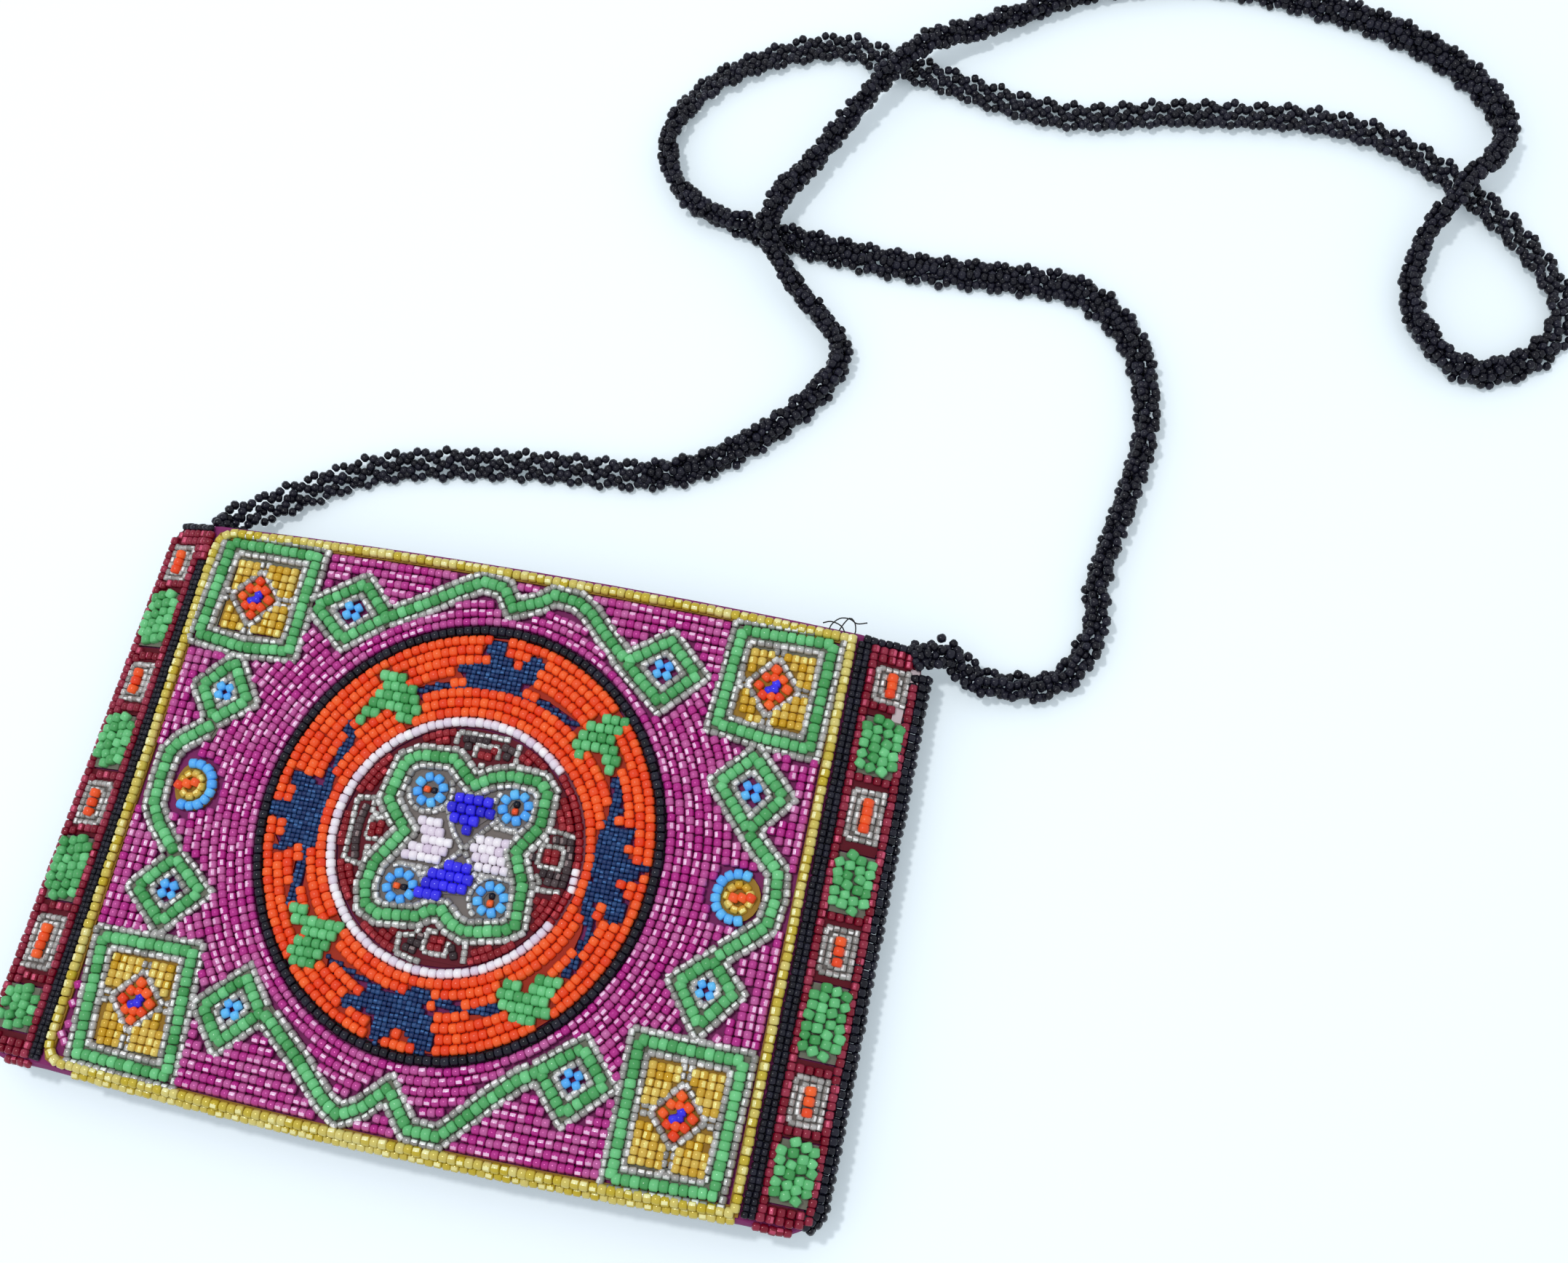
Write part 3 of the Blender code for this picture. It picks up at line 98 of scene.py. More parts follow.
def on_slope(x, y, height):
    across = x - FIELD_RIGHT
    up = Vector((sin(SLOPE), 0.0, cos(SLOPE)))
    base = Vector((FIELD_RIGHT + across * cos(SLOPE), y, CLOTH_TOP - across * sin(SLOPE)))
    return base + up * height, up


def on_left(depth, y, height):
    """A point down the left slope, with its depth measured as at mid height."""
    across = (LEFT_RUN - LEFT_SPREAD * y) * depth / LEFT_WIDTH
    up = Vector((-sin(SLOPE), 0.0, cos(SLOPE)))
    base = Vector((FIELD_LEFT + LEFT_SKEW * y - across, y, CLOTH_TOP - across * tan(SLOPE)))
    return base + up * height, up


def add_bead(group, kind, x, y, way, surface=on_face, scale=1.0, lift=0.0):
    pitch, width, height = KINDS[kind]
    middle, up = surface(x, y, height * scale + lift + jitter(0.06))
    ahead = surface(x + way[0] * 0.1, y + way[1] * 0.1, height * scale + lift)[0] - surface(x, y,
        height * scale + lift)[0]
    ahead.normalize()
    spin = jitter(0.09)
    side = up.cross(ahead).normalized()
    ahead = (ahead * cos(spin) + side * sin(spin)).normalized()
    grow = scale * chance.uniform(0.95, 1.05)
    beads.setdefault(group, []).append((middle, ahead, up, pitch * grow * 0.97, width * grow, width * grow))


# Plane helpers

def inside(point, outline):
    x, y = point
    odd = False
    for (x0, y0), (x1, y1) in zip(outline, outline[1:] + outline[:1]):
        if (y0 > y) != (y1 > y) and x < x0 + (y - y0) * (x1 - x0) / (y1 - y0):
            odd = not odd
    return odd


def distance(point, line, closed=False):
    x, y = point
    pairs = list(zip(line, line[1:]))
    if closed:
        pairs.append((line[-1], line[0]))
    best = 1e9
    for (x0, y0), (x1, y1) in pairs:
        dx, dy = x1 - x0, y1 - y0
        part = ((x - x0) * dx + (y - y0) * dy) / (dx * dx + dy * dy)
        part = min(1.0, max(0.0, part))
        best = min(best, hypot(x - x0 - part * dx, y - y0 - part * dy))
    return best


def limits(outline):
    xs, ys = [p[0] for p in outline], [p[1] for p in outline]
    return min(xs), max(xs), min(ys), max(ys)


def signed_area(line):
    return sum(a[0] * b[1] - b[0] * a[1] for a, b in zip(line, line[1:] + line[:1])) / 2


def shifted(line, distance_out, closed=True):
    points = [Vector(p) for p in line]
    if closed and signed_area(line) < 0:
        distance_out = -distance_out
    moved = []
    for k, point in enumerate(points):
        ways = []
        if closed or k > 0:
            ways.append((point - points[k - 1]).normalized())
        if closed or k < len(points) - 1:
            ways.append((points[(k + 1) % len(points)] - point).normalized())
        mean = sum(ways, Vector((0.0, 0.0))).normalized()
        side = Vector((mean.y, -mean.x))
        stretch = max(0.55, side.dot(Vector((ways[0].y, -ways[0].x))))
        moved.append(tuple(point + side * distance_out / stretch))
    return moved


def oval(middle, half, count=60):
    turn = 2 * pi / count
    return [(middle[0] + half[0] * cos(k * turn), middle[1] + half[1] * sin(k * turn))
        for k in range(count)]


def spaced(line, pitch, closed=False):
    """Points at about the pitch along a line, each with the direction there."""
    points = [Vector(p) for p in line]
    if closed:
        points.append(points[0])
    total = sum((b - a).length for a, b in zip(points, points[1:]))
    count = max(1, round(total / pitch))
    step = total / count
    places = []
    target = step / 2
    gone = 0.0
    for a, b in zip(points, points[1:]):
        length = (b - a).length
        while length > 0 and target <= gone + length + 1e-9 and len(places) < count:
            way = (b - a) / length
            spot = a + way * (target - gone)
            places.append(((spot.x, spot.y), (way.x, way.y)))
            target += step
        gone += length
    return places


def row(group, kind, line, closed=False, surface=on_face, keep=None, scale=1.0, lift=0.0):
    for (x, y), way in spaced(line, KINDS[kind][0] * scale, closed):
        x += jitter(0.07)
        y += jitter(0.07)
        if keep is None or keep((x, y)):
            add_bead(group, kind, x, y, way, surface, scale, lift)


# Pattern lines, as in the part's source
CORNERS = {
    "top_left": (((-61.2, 50.4), (-43.5, 50.4), (-43.9, 31.0), (-53.2, 30.2), (-62.6, 31.4)), (-53.4, 40.2)),
    "top_right": (((41.4, 50.2), (58.6, 50.3), (58.2, 30.2), (50.0, 30.7), (40.4, 31.9)), (49.2, 40.4)),
    "bottom_left": (((-63.2, -27.8), (-45.6, -27.3), (-43.9, -49.6), (-61.7, -48.9)), (-53.4, -37.9)),
    "bottom_right": (((39.3, -26.3), (58.1, -26.4), (57.7, -49.2), (39.6, -50.0)), (48.8, -37.6)),
}
VINES = {
    "top": (
        ((-26.5, 40.9), (-20.0, 44.6), (-13.7, 48.8), (-9.7, 51.0), (-5.4, 50.5), (-2.7, 46.8),
         (2.2, 48.9), (4.6, 50.7), (9.3, 50.3), (12.3, 48.5), (16.0, 44.8), (19.8, 41.6)),
        (((-41.0, 40.8), (-32.5, 46.6), (-26.8, 41.0), (-34.0, 35.2)),
         ((21.0, 40.3), (28.5, 45.8), (34.7, 40.1), (28.9, 34.0))),
    ),
    "bottom": (
        ((-28.2, -36.0), (-25.6, -38.0), (-20.6, -41.9), (-16.7, -45.5), (-13.6, -48.2),
         (-10.7, -49.7), (-7.2, -47.8), (-3.0, -43.4), (0.0, -47.0), (2.3, -49.6), (8.0, -49.6),
         (11.9, -45.4), (15.5, -41.4), (19.6, -37.4), (21.9, -35.8)),
        (((-40.7, -36.2), (-34.2, -29.9), (-29.8, -35.4), (-36.2, -41.9)),
         ((23.0, -35.2), (29.7, -29.7), (34.9, -35.2), (28.9, -41.3))),
    ),
    "left": (
        ((-55.4, 13.8), (-59.6, 10.4), (-61.3, 7.8), (-61.5, 2.6), (-61.3, -2.4), (-59.0, -5.8),
        (-55.4, -9.4)),
        (((-58.7, 21.6), (-53.7, 27.0), (-49.2, 20.2), (-54.6, 15.7)),
         ((-59.6, -17.8), (-54.0, -11.3), (-47.5, -16.5), (-53.4, -23.2))),
    ),
    "right": (
        ((51.4, 12.2), (53.0, 10.8), (57.1, 7.2), (57.8, 2.6), (57.2, -2.6), (53.3, -6.3), (50.4, -8.8)),
        (((43.3, 21.2), (48.7, 27.0), (55.4, 20.5), (50.3, 13.6)),
         ((43.8, -15.1), (49.0, -10.4), (53.8, -15.4), (49.0, -21.7))),
    ),
}
EYES = {"left": ((-55.0, 2.6), (3.9, 4.1)), "right": ((51.0, 1.4), (4.0, 4.2))}
MEDALLION, ROSETTE = (-2.1, 2.1), (-2.3, 0.85)
FIGURES = {
    "top": ((-5.6, 40.4), (-1.3, 40.4), (-2.6, 38.4), (-1.6, 37.2), (-0.4, 36.9), (-0.4, 35.5),
        (0.7, 35.3), (1.4, 36.6), (2.5, 38.0), (4.5, 38.4), (5.9, 37.3), (5.5, 34.8), (5.2, 33.3),
        (2.9, 32.7), (2.4, 31.4), (3.2, 30.7), (6.2, 30.6), (9.6, 29.8), (12.2, 28.4), (15.2, 27.1),
        (14.5, 26.1), (11.6, 27.2), (8.2, 28.6), (4.8, 29.5), (0.0, 29.9), (-5.0, 29.9), (-10.0, 29.6),
        (-14.2, 28.5), (-16.8, 27.1), (-17.6, 28.3), (-13.2, 30.1), (-8.6, 30.6), (-8.1, 32.5),
        (-10.2, 33.0), (-10.7, 34.9), (-5.2, 35.4), (-4.9, 37.4), (-6.3, 38.0), (-5.5, 38.9)),
    "bottom": ((-20.2, -22.7), (-17.0, -24.0), (-12.4, -25.4), (-9.2, -26.7), (-7.3, -27.0), (-4.8, -26.0),
        (-3.0, -25.5), (0.2, -25.7), (3.0, -26.4), (6.0, -26.9), (10.0, -26.0), (12.6, -24.8),
        (14.4, -25.8), (13.4, -27.3), (10.4, -28.2), (6.0, -28.4), (3.2, -28.3), (0.2, -27.6),
        (-0.6, -28.5), (0.4, -29.4), (1.6, -30.0), (2.3, -31.6), (2.9, -33.6), (3.0, -35.6),
        (1.6, -36.6), (-0.4, -36.4), (-1.2, -35.4), (-2.4, -34.2), (-2.8, -33.0), (-3.8, -32.6),
        (-4.9, -33.3), (-5.3, -34.5), (-6.9, -35.0), (-7.4, -36.4), (-8.8, -36.3), (-9.3, -34.8),
        (-9.0, -32.6), (-9.7, -31.3), (-11.2, -30.8), (-12.5, -31.4), (-14.8, -31.6), (-15.9, -30.5),
        (-15.2, -29.1), (-12.6, -28.3), (-11.6, -27.1), (-12.6, -26.3), (-16.5, -25.1), (-20.7, -23.6)),
    "left": ((-36.6, 9.0), (-33.4, 8.8), (-31.6, 8.2), (-31.2, 7.1), (-29.9, 6.4), (-29.8, 10.0),
        (-29.0, 12.2), (-28.6, 16.4), (-29.2, 20.8), (-27.6, 20.6), (-26.4, 17.0), (-26.5, 14.2),
        (-28.2, 12.2), (-28.2, 8.6), (-28.5, 2.0), (-28.1, -2.6), (-28.9, -5.6), (-29.4, -8.0),
        (-29.3, -11.5), (-28.4, -14.6), (-30.6, -15.6), (-31.1, -11.0), (-30.7, -5.0), (-32.4, -4.4),
        (-33.4, -5.7), (-36.1, -6.4), (-35.3, -3.4), (-34.8, -1.5), (-36.4, -0.7), (-38.3, 0.2),
        (-38.8, 1.8), (-37.9, 3.2), (-35.3, 3.3), (-34.8, 5.0), (-36.2, 6.2)),
    "right": ((23.4, 18.6), (25.0, 19.0), (25.6, 17.2), (26.4, 15.0), (26.7, 12.4), (25.9, 10.8),
        (26.7, 9.9), (28.2, 9.6), (29.9, 10.5), (31.0, 9.7), (29.9, 8.6), (30.0, 6.8), (29.1, 5.4),
        (30.0, 4.4), (34.2, 4.2), (33.6, 2.9), (32.4, 2.0), (32.0, 0.8), (28.9, -0.4), (30.2, -1.6),
        (31.4, -3.4), (31.7, -5.8), (30.8, -7.6), (29.2, -8.0), (28.3, -6.6), (27.8, -5.0),
        (26.6, -4.0), (25.6, -4.4), (25.9, -5.6), (26.4, -8.2), (26.9, -10.2), (26.0, -13.0),
        (25.2, -16.0), (23.9, -18.3), (22.7, -18.0), (24.2, -14.0), (25.0, -10.5), (25.1, -8.6),
        (24.1, -7.6), (23.7, -3.0), (24.0, 0.0), (23.2, 2.4), (23.1, 4.2), (23.9, 8.0), (24.0, 11.0),
        (24.6, 13.0), (24.2, 16.0)),
}
LEAVES = (
    ((-25.5, 30.4), (-20.0, 31.0), (-18.5, 28.7), (-15.6, 26.0), (-15.2, 23.0), (-17.5, 20.8), (-20.5, 23.6),
     (-23.0, 22.4), (-26.5, 19.6), (-27.0, 22.0), (-24.5, 25.5), (-23.5, 27.5)),
    ((18.5, 28.8), (21.5, 30.8), (24.6, 28.8), (22.6, 26.6), (22.4, 24.6), (25.4, 20.6), (22.8, 18.8),
     (20.4, 21.8), (18.6, 23.6), (17.4, 20.6), (15.8, 21.4), (14.9, 24.4), (16.6, 26.4)),
    ((-28.4, -14.8), (-25.8, -16.4), (-23.2, -17.4), (-21.4, -15.8), (-19.2, -17.4), (-18.8, -20.6),
     (-20.6, -22.4), (-22.4, -25.2), (-27.4, -26.0), (-27.8, -22.6), (-25.6, -20.6), (-28.6, -18.4),
     (-30.4, -16.4)),
    ((12.2, -21.4), (14.8, -20.6), (17.0, -22.2), (19.4, -19.0), (22.0, -18.6), (23.4, -20.4), (22.4, -23.0),
     (22.6, -25.6), (20.4, -27.4), (17.6, -28.0), (14.4, -26.0), (12.8, -24.2)),
)
QUATREFOIL = ((-15.6, 14.4), (-13.0, 16.1), (-6.4, 16.6), (-3.0, 13.6), (-1.4, 12.4), (1.4, 14.3),
    (5.0, 15.4),
              (10.6, 15.2), (12.4, 13.4), (12.5, 7.0), (10.3, 3.6), (9.2, 1.6), (10.4, -0.8), (12.0, -4.0),
              (12.4, -11.2), (10.4, -12.6), (3.4, -14.1), (0.6, -13.1), (-1.6, -11.2), (-3.8, -11.4),
              (-6.0, -13.0),
              (-13.0, -13.9), (-15.9, -12.8), (-16.9, -9.0), (-16.5, -5.0), (-14.4, -1.6), (-12.2, 1.9),
              (-15.2, 5.0), (-17.0, 7.2))
FLOWERS = ((-9.5, 10.1), (7.2, 9.7), (-10.5, -8.3), (6.8, -7.5))
BLUE_WEDGES = (((-5.4, 10.2), (1.4, 11.4), (3.8, 9.4), (2.6, 6.6), (-0.9, 3.0), (-4.0, 5.6)),
               ((-7.4, -9.6), (-3.0, -8.9), (2.4, -7.8), (2.6, -4.2), (-0.9, -1.2), (-5.6, -4.6)))
PINK_FANS = (((-2.8, 0.6), (-6.2, 5.6), (-10.6, 5.2), (-9.2, 1.2), (-11.6, -3.2), (-4.8, -3.0)),
             ((0.6, 1.0), (2.8, 4.4), (7.6, 4.4), (6.8, 1.0), (8.8, -2.2), (2.6, -3.0)))
STEPS = (((-7.0, 21.8), (-7.0, 18.0), (-4.6, 18.0), (-4.6, 15.9), (-1.0, 13.5), (2.4, 15.2), (2.4, 17.4),
    (5.0, 17.4), (5.0, 22.0)),
         ((-22.9, 6.2), (-19.4, 6.7), (-19.4, 4.0), (-15.4, 3.2), (-13.2, 1.4), (-15.4, -1.6),
         (-18.6, -2.4), (-18.6, -5.8), (-22.4, -5.2)),
         ((20.8, 5.9), (16.6, 6.9), (14.4, 6.7), (14.2, 4.2), (10.8, 1.5), (12.6, -1.2), (14.6, -2.0),
         (14.8, -4.2), (20.6, -3.8)),
         ((-8.3, -20.0), (-8.3, -16.8), (-5.4, -16.2), (-4.4, -13.4), (-1.4, -12.6), (1.0, -14.4),
         (4.2, -15.6), (4.6, -20.4), (-1.0, -21.4)))
STEP_HEARTS = ((-0.8, 18.2), (-17.1, 1.2), (15.8, 2.1), (-1.2, -17.0))


def edge_top(x, inset=0.0):
    part = (x - FIELD_LEFT) / (FIELD_RIGHT - FIELD_LEFT)
    return FIELD_TOP + TOP_BOW * 4 * part * (1 - part) - inset


def edge_bottom(x, inset=0.0):
    part = (x - FIELD_LEFT) / (FIELD_RIGHT - FIELD_LEFT)
    return FIELD_BOTTOM - BOTTOM_BOW * 4 * part * (1 - part) + inset


def edge_left(y, inset=0.0):
    return FIELD_LEFT + LEFT_SKEW * y + inset


def round_corner(x, y, corner, start):
    """Points round a left corner of the face; start is the direction of the first, in degrees."""
    ways = [radians(start + 22.5 * k) for k in range(5)]
    return [(x + corner + corner * cos(way), y + corner * sin(way)) for way in ways]


def face_line(inset, corner):
    """The outline of the face pulled in by inset, with round left corners."""
    x0, x1 = edge_left(FIELD_BOTTOM, inset), FIELD_RIGHT - inset
    line = round_corner(x0, edge_bottom(x0 + corner, inset) + corner, corner, 180)
    line += [(x, edge_bottom(x, inset)) for x in range(-55, 60, 10)]
    line += [(x1, edge_bottom(x1, inset)), (x1, edge_top(x1, inset))]
    line += [(x, edge_top(x, inset)) for x in range(55, -60, -10)]
    x0 = edge_left(FIELD_TOP, inset)
    return line + round_corner(x0, edge_top(x0 + corner, inset) - corner, corner, 90)


def grown(middle, half, extra):
    return lambda p: ((p[0] - middle[0]) / (half[0] + extra)) ** 2 + ((p[1] - middle[1]) / (half[1]
        + extra)) ** 2 < 1.0


GREEN_LINES = [(name, line, False) for name, (line, _) in VINES.items()]
GREEN_LINES += [(name, diamond, True) for name, (_, diamonds) in VINES.items() for diamond in diamonds]
GREEN_LINES += [("square_" + name, line, True) for name, (line, _) in CORNERS.items()]
in_medallion = grown(MEDALLION, (38.6, 40.9), 0.2)


def motif_distance(point, skip=None):
    return min(distance(point, line, closed) for _, line, closed in GREEN_LINES if line is not skip)


def free_ground(point):
    """True where the magenta ground lies."""
    if in_medallion(point) or motif_distance(point) < FREE:
        return False
    if any(closed and inside(point, line) for _, line, closed in GREEN_LINES):
        return False
    if any(grown(middle, half, 1.7)(point) for middle, half in EYES.values()):
        return False
    return inside(point, GROUND)


GROUND = face_line(2.7, 3.0)
TOP_LINE = ((-44.0, 38.0), (-40.0, 40.8), (-34.0, 41.0)) + VINES["top"][0] + ((28.0, 40.2), (34.7, 40.1),
    (41.0, 38.0))
BOTTOM_LINE = ((-44.0, -34.0), (-40.0, -36.2), (-34.0, -36.0)) + VINES["bottom"][0] + ((28.0, -35.4),
    (34.9, -35.2), (41.0, -34.0))


def level_at(line, x):
    for (x0, y0), (x1, y1) in zip(line, line[1:]):
        if x0 <= x <= x1:
            return y0 + (y1 - y0) * (x - x0) / (x1 - x0)
    return None


def above_top(point):
    y = level_at(TOP_LINE, point[0])
    return y is not None and point[1] > y


def below_bottom(point):
    y = level_at(BOTTOM_LINE, point[0])
    return y is not None and point[1] < y


def beside_left(point):
    return point[0] < -57.0 and -27.0 < point[1] < 30.0


def beside_right(point):
    return point[0] > 53.0 and -25.0 < point[1] < 30.0


def edge_row(line, part):
    """A magenta row along an edge of the face, kept where the test named by part holds."""
    row("magenta_edges", "magenta", line, keep=lambda p: part(p) and free_ground(p))


def magenta_ground():
    gap = KINDS["magenta"][1]
    for k in range(20):
        inset = FIRST_ROW + gap * k
        edge_row([(x, edge_top(x, inset)) for x in range(-60, 61, 4)], above_top)
        edge_row([(x, edge_bottom(x, inset)) for x in range(-60, 61, 4)], below_bottom)
    for k in range(6):
        inset = FIRST_ROW + gap * k
        edge_row([(edge_left(y, inset), y) for y in range(-48, 50, 4)], beside_left)
        edge_row([(FIELD_RIGHT - FIRST_ROW - gap * k, y) for y in range(-48, 50, 4)], beside_right)
    for k in range(24):
        half = (GROUND_OVAL[0] + gap * k, GROUND_OVAL[1] + gap * k)
        group = "magenta_inner" if k < 7 else "magenta_outer"
        row(group, "magenta", oval(MEDALLION, half, 90), True, keep=lambda p: not (
            above_top(p) or below_bottom(p) or beside_left(p) or beside_right(p)) and free_ground(p))


def lengthened(line, extra):
    """An open line carried on by some length at both of its ends."""
    start = Vector(line[0]) + (Vector(line[0]) - Vector(line[1])).normalized() * extra
    end = Vector(line[-1]) + (Vector(line[-1]) - Vector(line[-2])).normalized() * extra
    return [tuple(start), *line, tuple(end)]


def green_figures():
    for name, line, closed in GREEN_LINES:
        group = "green_" + name
        row(group, "green", line if closed else lengthened(line, 1.3), closed)
        for side in (-1, 1):
            beside = shifted(line, side * BESIDE, closed)
            row("silver_lines", "silver", beside, closed,
                keep=lambda p: motif_distance(p, line) > 1.55 and distance(p, line, closed) > 1.2
                and not in_medallion(p) and inside(p, WHOLE))
    for _, diamonds in VINES.values():
        for diamond in diamonds:
            x = sum(p[0] for p in diamond) / 4
            y = sum(p[1] for p in diamond) / 4
            for dx, dy in ((-0.95, -0.8), (0.95, -0.9), (-0.9, 0.95), (0.95, 0.85)):
                add_bead("sky_beads", "sky", x + dx, y + dy, (0.8, 0.6), scale=0.92)


WHOLE = face_line(1.0, 3.0)


def corner_fills():
    for line, (cx, cy) in CORNERS.values():
        patch = shifted(line, -2.8)
        room = shifted(line, -2.2)
        step = 1.55
        _, _, y0, y1 = limits(line)
        wide, tall = 3.6, 4.0

        def far(p):
            return abs(p[0] - cx) / wide + abs(p[1] - cy) / tall

        def in_patch(p):
            beside = abs(p[0] - cx) > 1.4 and abs(p[1] - cy) > 1.4
            return far(p) > 1.62 and beside and inside(p, patch)

        for k in range(-8, 9):
            line_x = cx + k * step
            row("amber_patches", "amber", [(line_x, y0), (line_x, y1)], keep=in_patch)
        out, up = wide * 1.42, tall * 1.42
        ring = [(cx - out, cy), (cx, cy - up), (cx + out, cy), (cx, cy + up)]
        row("silver_lines", "silver", ring, True, keep=lambda p: inside(p, room))
        for dx, dy in ((0, 1), (0, -1), (1, 0), (-1, 0)):
            start = (cx + dx * wide * 1.5, cy + dy * tall * 1.5)
            end = (cx + dx * 12, cy + dy * 12)
            for side in (-0.75, 0.75):
                a = (start[0] + dy * side, start[1] + dx * side)
                b = (end[0] + dy * side, end[1] + dx * side)
                row("silver_lines", "silver", [a, b], keep=lambda p: inside(p, room), scale=0.9)
        for k in range(-2, 3):
            half = 3.5 - 1.22 * abs(k)
            for (x, y), way in spaced([(cx - half, cy + k * 1.7), (cx + half, cy + k * 1.7)], 1.7):
                if abs(x - cx) < 1.2 and abs(y - cy) < 1.2:
                    continue
                add_bead("orange_diamonds", "orange", x, y, (0.5, 0.86))
        for dx, dy in ((-0.6, -0.75), (0.55, 0.75), (0.35, -0.3)):
            add_bead("royal_beads", "royal", cx + dx, cy + dy, (1.0, 0.3), scale=0.9)


def eyes():
    for name, (middle, half) in EYES.items():
        sign = -1 if name == "left" else 1
        arc = [(middle[0] - sign * half[0] * cos(radians(a)), middle[1]
            + half[1] * sin(radians(a)))
               for a in range(-115, 116, 10)]
        row("sky_beads", "sky", arc)
        small = [(middle[0] - sign * (half[0] - 1.9) * cos(radians(a)) + sign * 0.2,
                  middle[1] + (half[1] - 1.9) * sin(radians(a))) for a in range(-180, 180, 12)]
        row("amber_eyes", "amber", small, True)
        tilt = 0.5 if name == "left" else 0.25
        for k in (-1, 0, 1):
            add_bead("orange_diamonds", "orange", middle[0] + sign * 0.9 + k * 1.5, middle[1] + k * tilt,
                (0.3, 1.0), lift=0.4)


def figure_at(point):
    return next((name for name, outline in FIGURES.items() if inside(point, outline)), None)


def medallion():
    row("black_ring", "black", oval(MEDALLION, BLACK_OVAL, 90), True, scale=1.08)

    def open_ring(p):
        return not figure_at(p) and not any(inside(p, outline) for outline in LEAVES)

    # four orange rows follow the black ring, and rows round the pink ring fill what is left
    edge, gap, along = (36.7, 39.0), 1.93, 4
    for k in range(along):
        half = (edge[0] - gap * (k + 0.5), edge[1] - gap * (k + 0.5))
        row("orange_outer", "orange", oval(MEDALLION, half, 90), True, keep=open_ring)
    left_over = grown(MEDALLION, edge, -gap * along - 0.8)
    for k in range(6):
        half = (25.35 + 1.9 * k, 25.15 + 1.9 * k)
        row("orange_inner", "orange", oval(ROSETTE, half, 90), True, keep=lambda p: left_over(p)
            and open_ring(p))
    for outline in LEAVES:
        x0, x1, y0, _ = limits(outline)
        for k in range(12):
            y = y0 + 0.9 + k * 1.85
            row("green_leaves", "green", [(x0 + (k % 2) * 0.8, y), (x1 + (k % 2) * 0.8, y)],
                keep=lambda p: inside(p, outline), lift=0.15)
    for outline in FIGURES.values():
        x0, x1, y0, y1 = limits(outline)
        count = int((y1 - y0) / 0.88) + 1
        for k in range(count):
            y = y0 + 0.3 + k * 0.88
            row("navy_figures", "navy", [(x0, y), (x1, y)], keep=lambda p: inside(p, outline), lift=0.3)

    def pink_shown(p):
        return not (p[0] > 8.0 and -9.5 < p[1] < 17.0)

    row("pink_beads", "pink", oval(ROSETTE, PINK_OVAL, 80), True, keep=pink_shown)
    row("deep_ground", "deep", oval(ROSETTE, (23.2, 23.0), 80), True, keep=lambda p: not pink_shown(p)
        and not -4.0 < p[1] < 1.2)
    for y in (-3.0, -1.4, 0.2):
        add_bead("pink_beads", "pink", 21.0, y, (0.0, 1.0), scale=0.9)


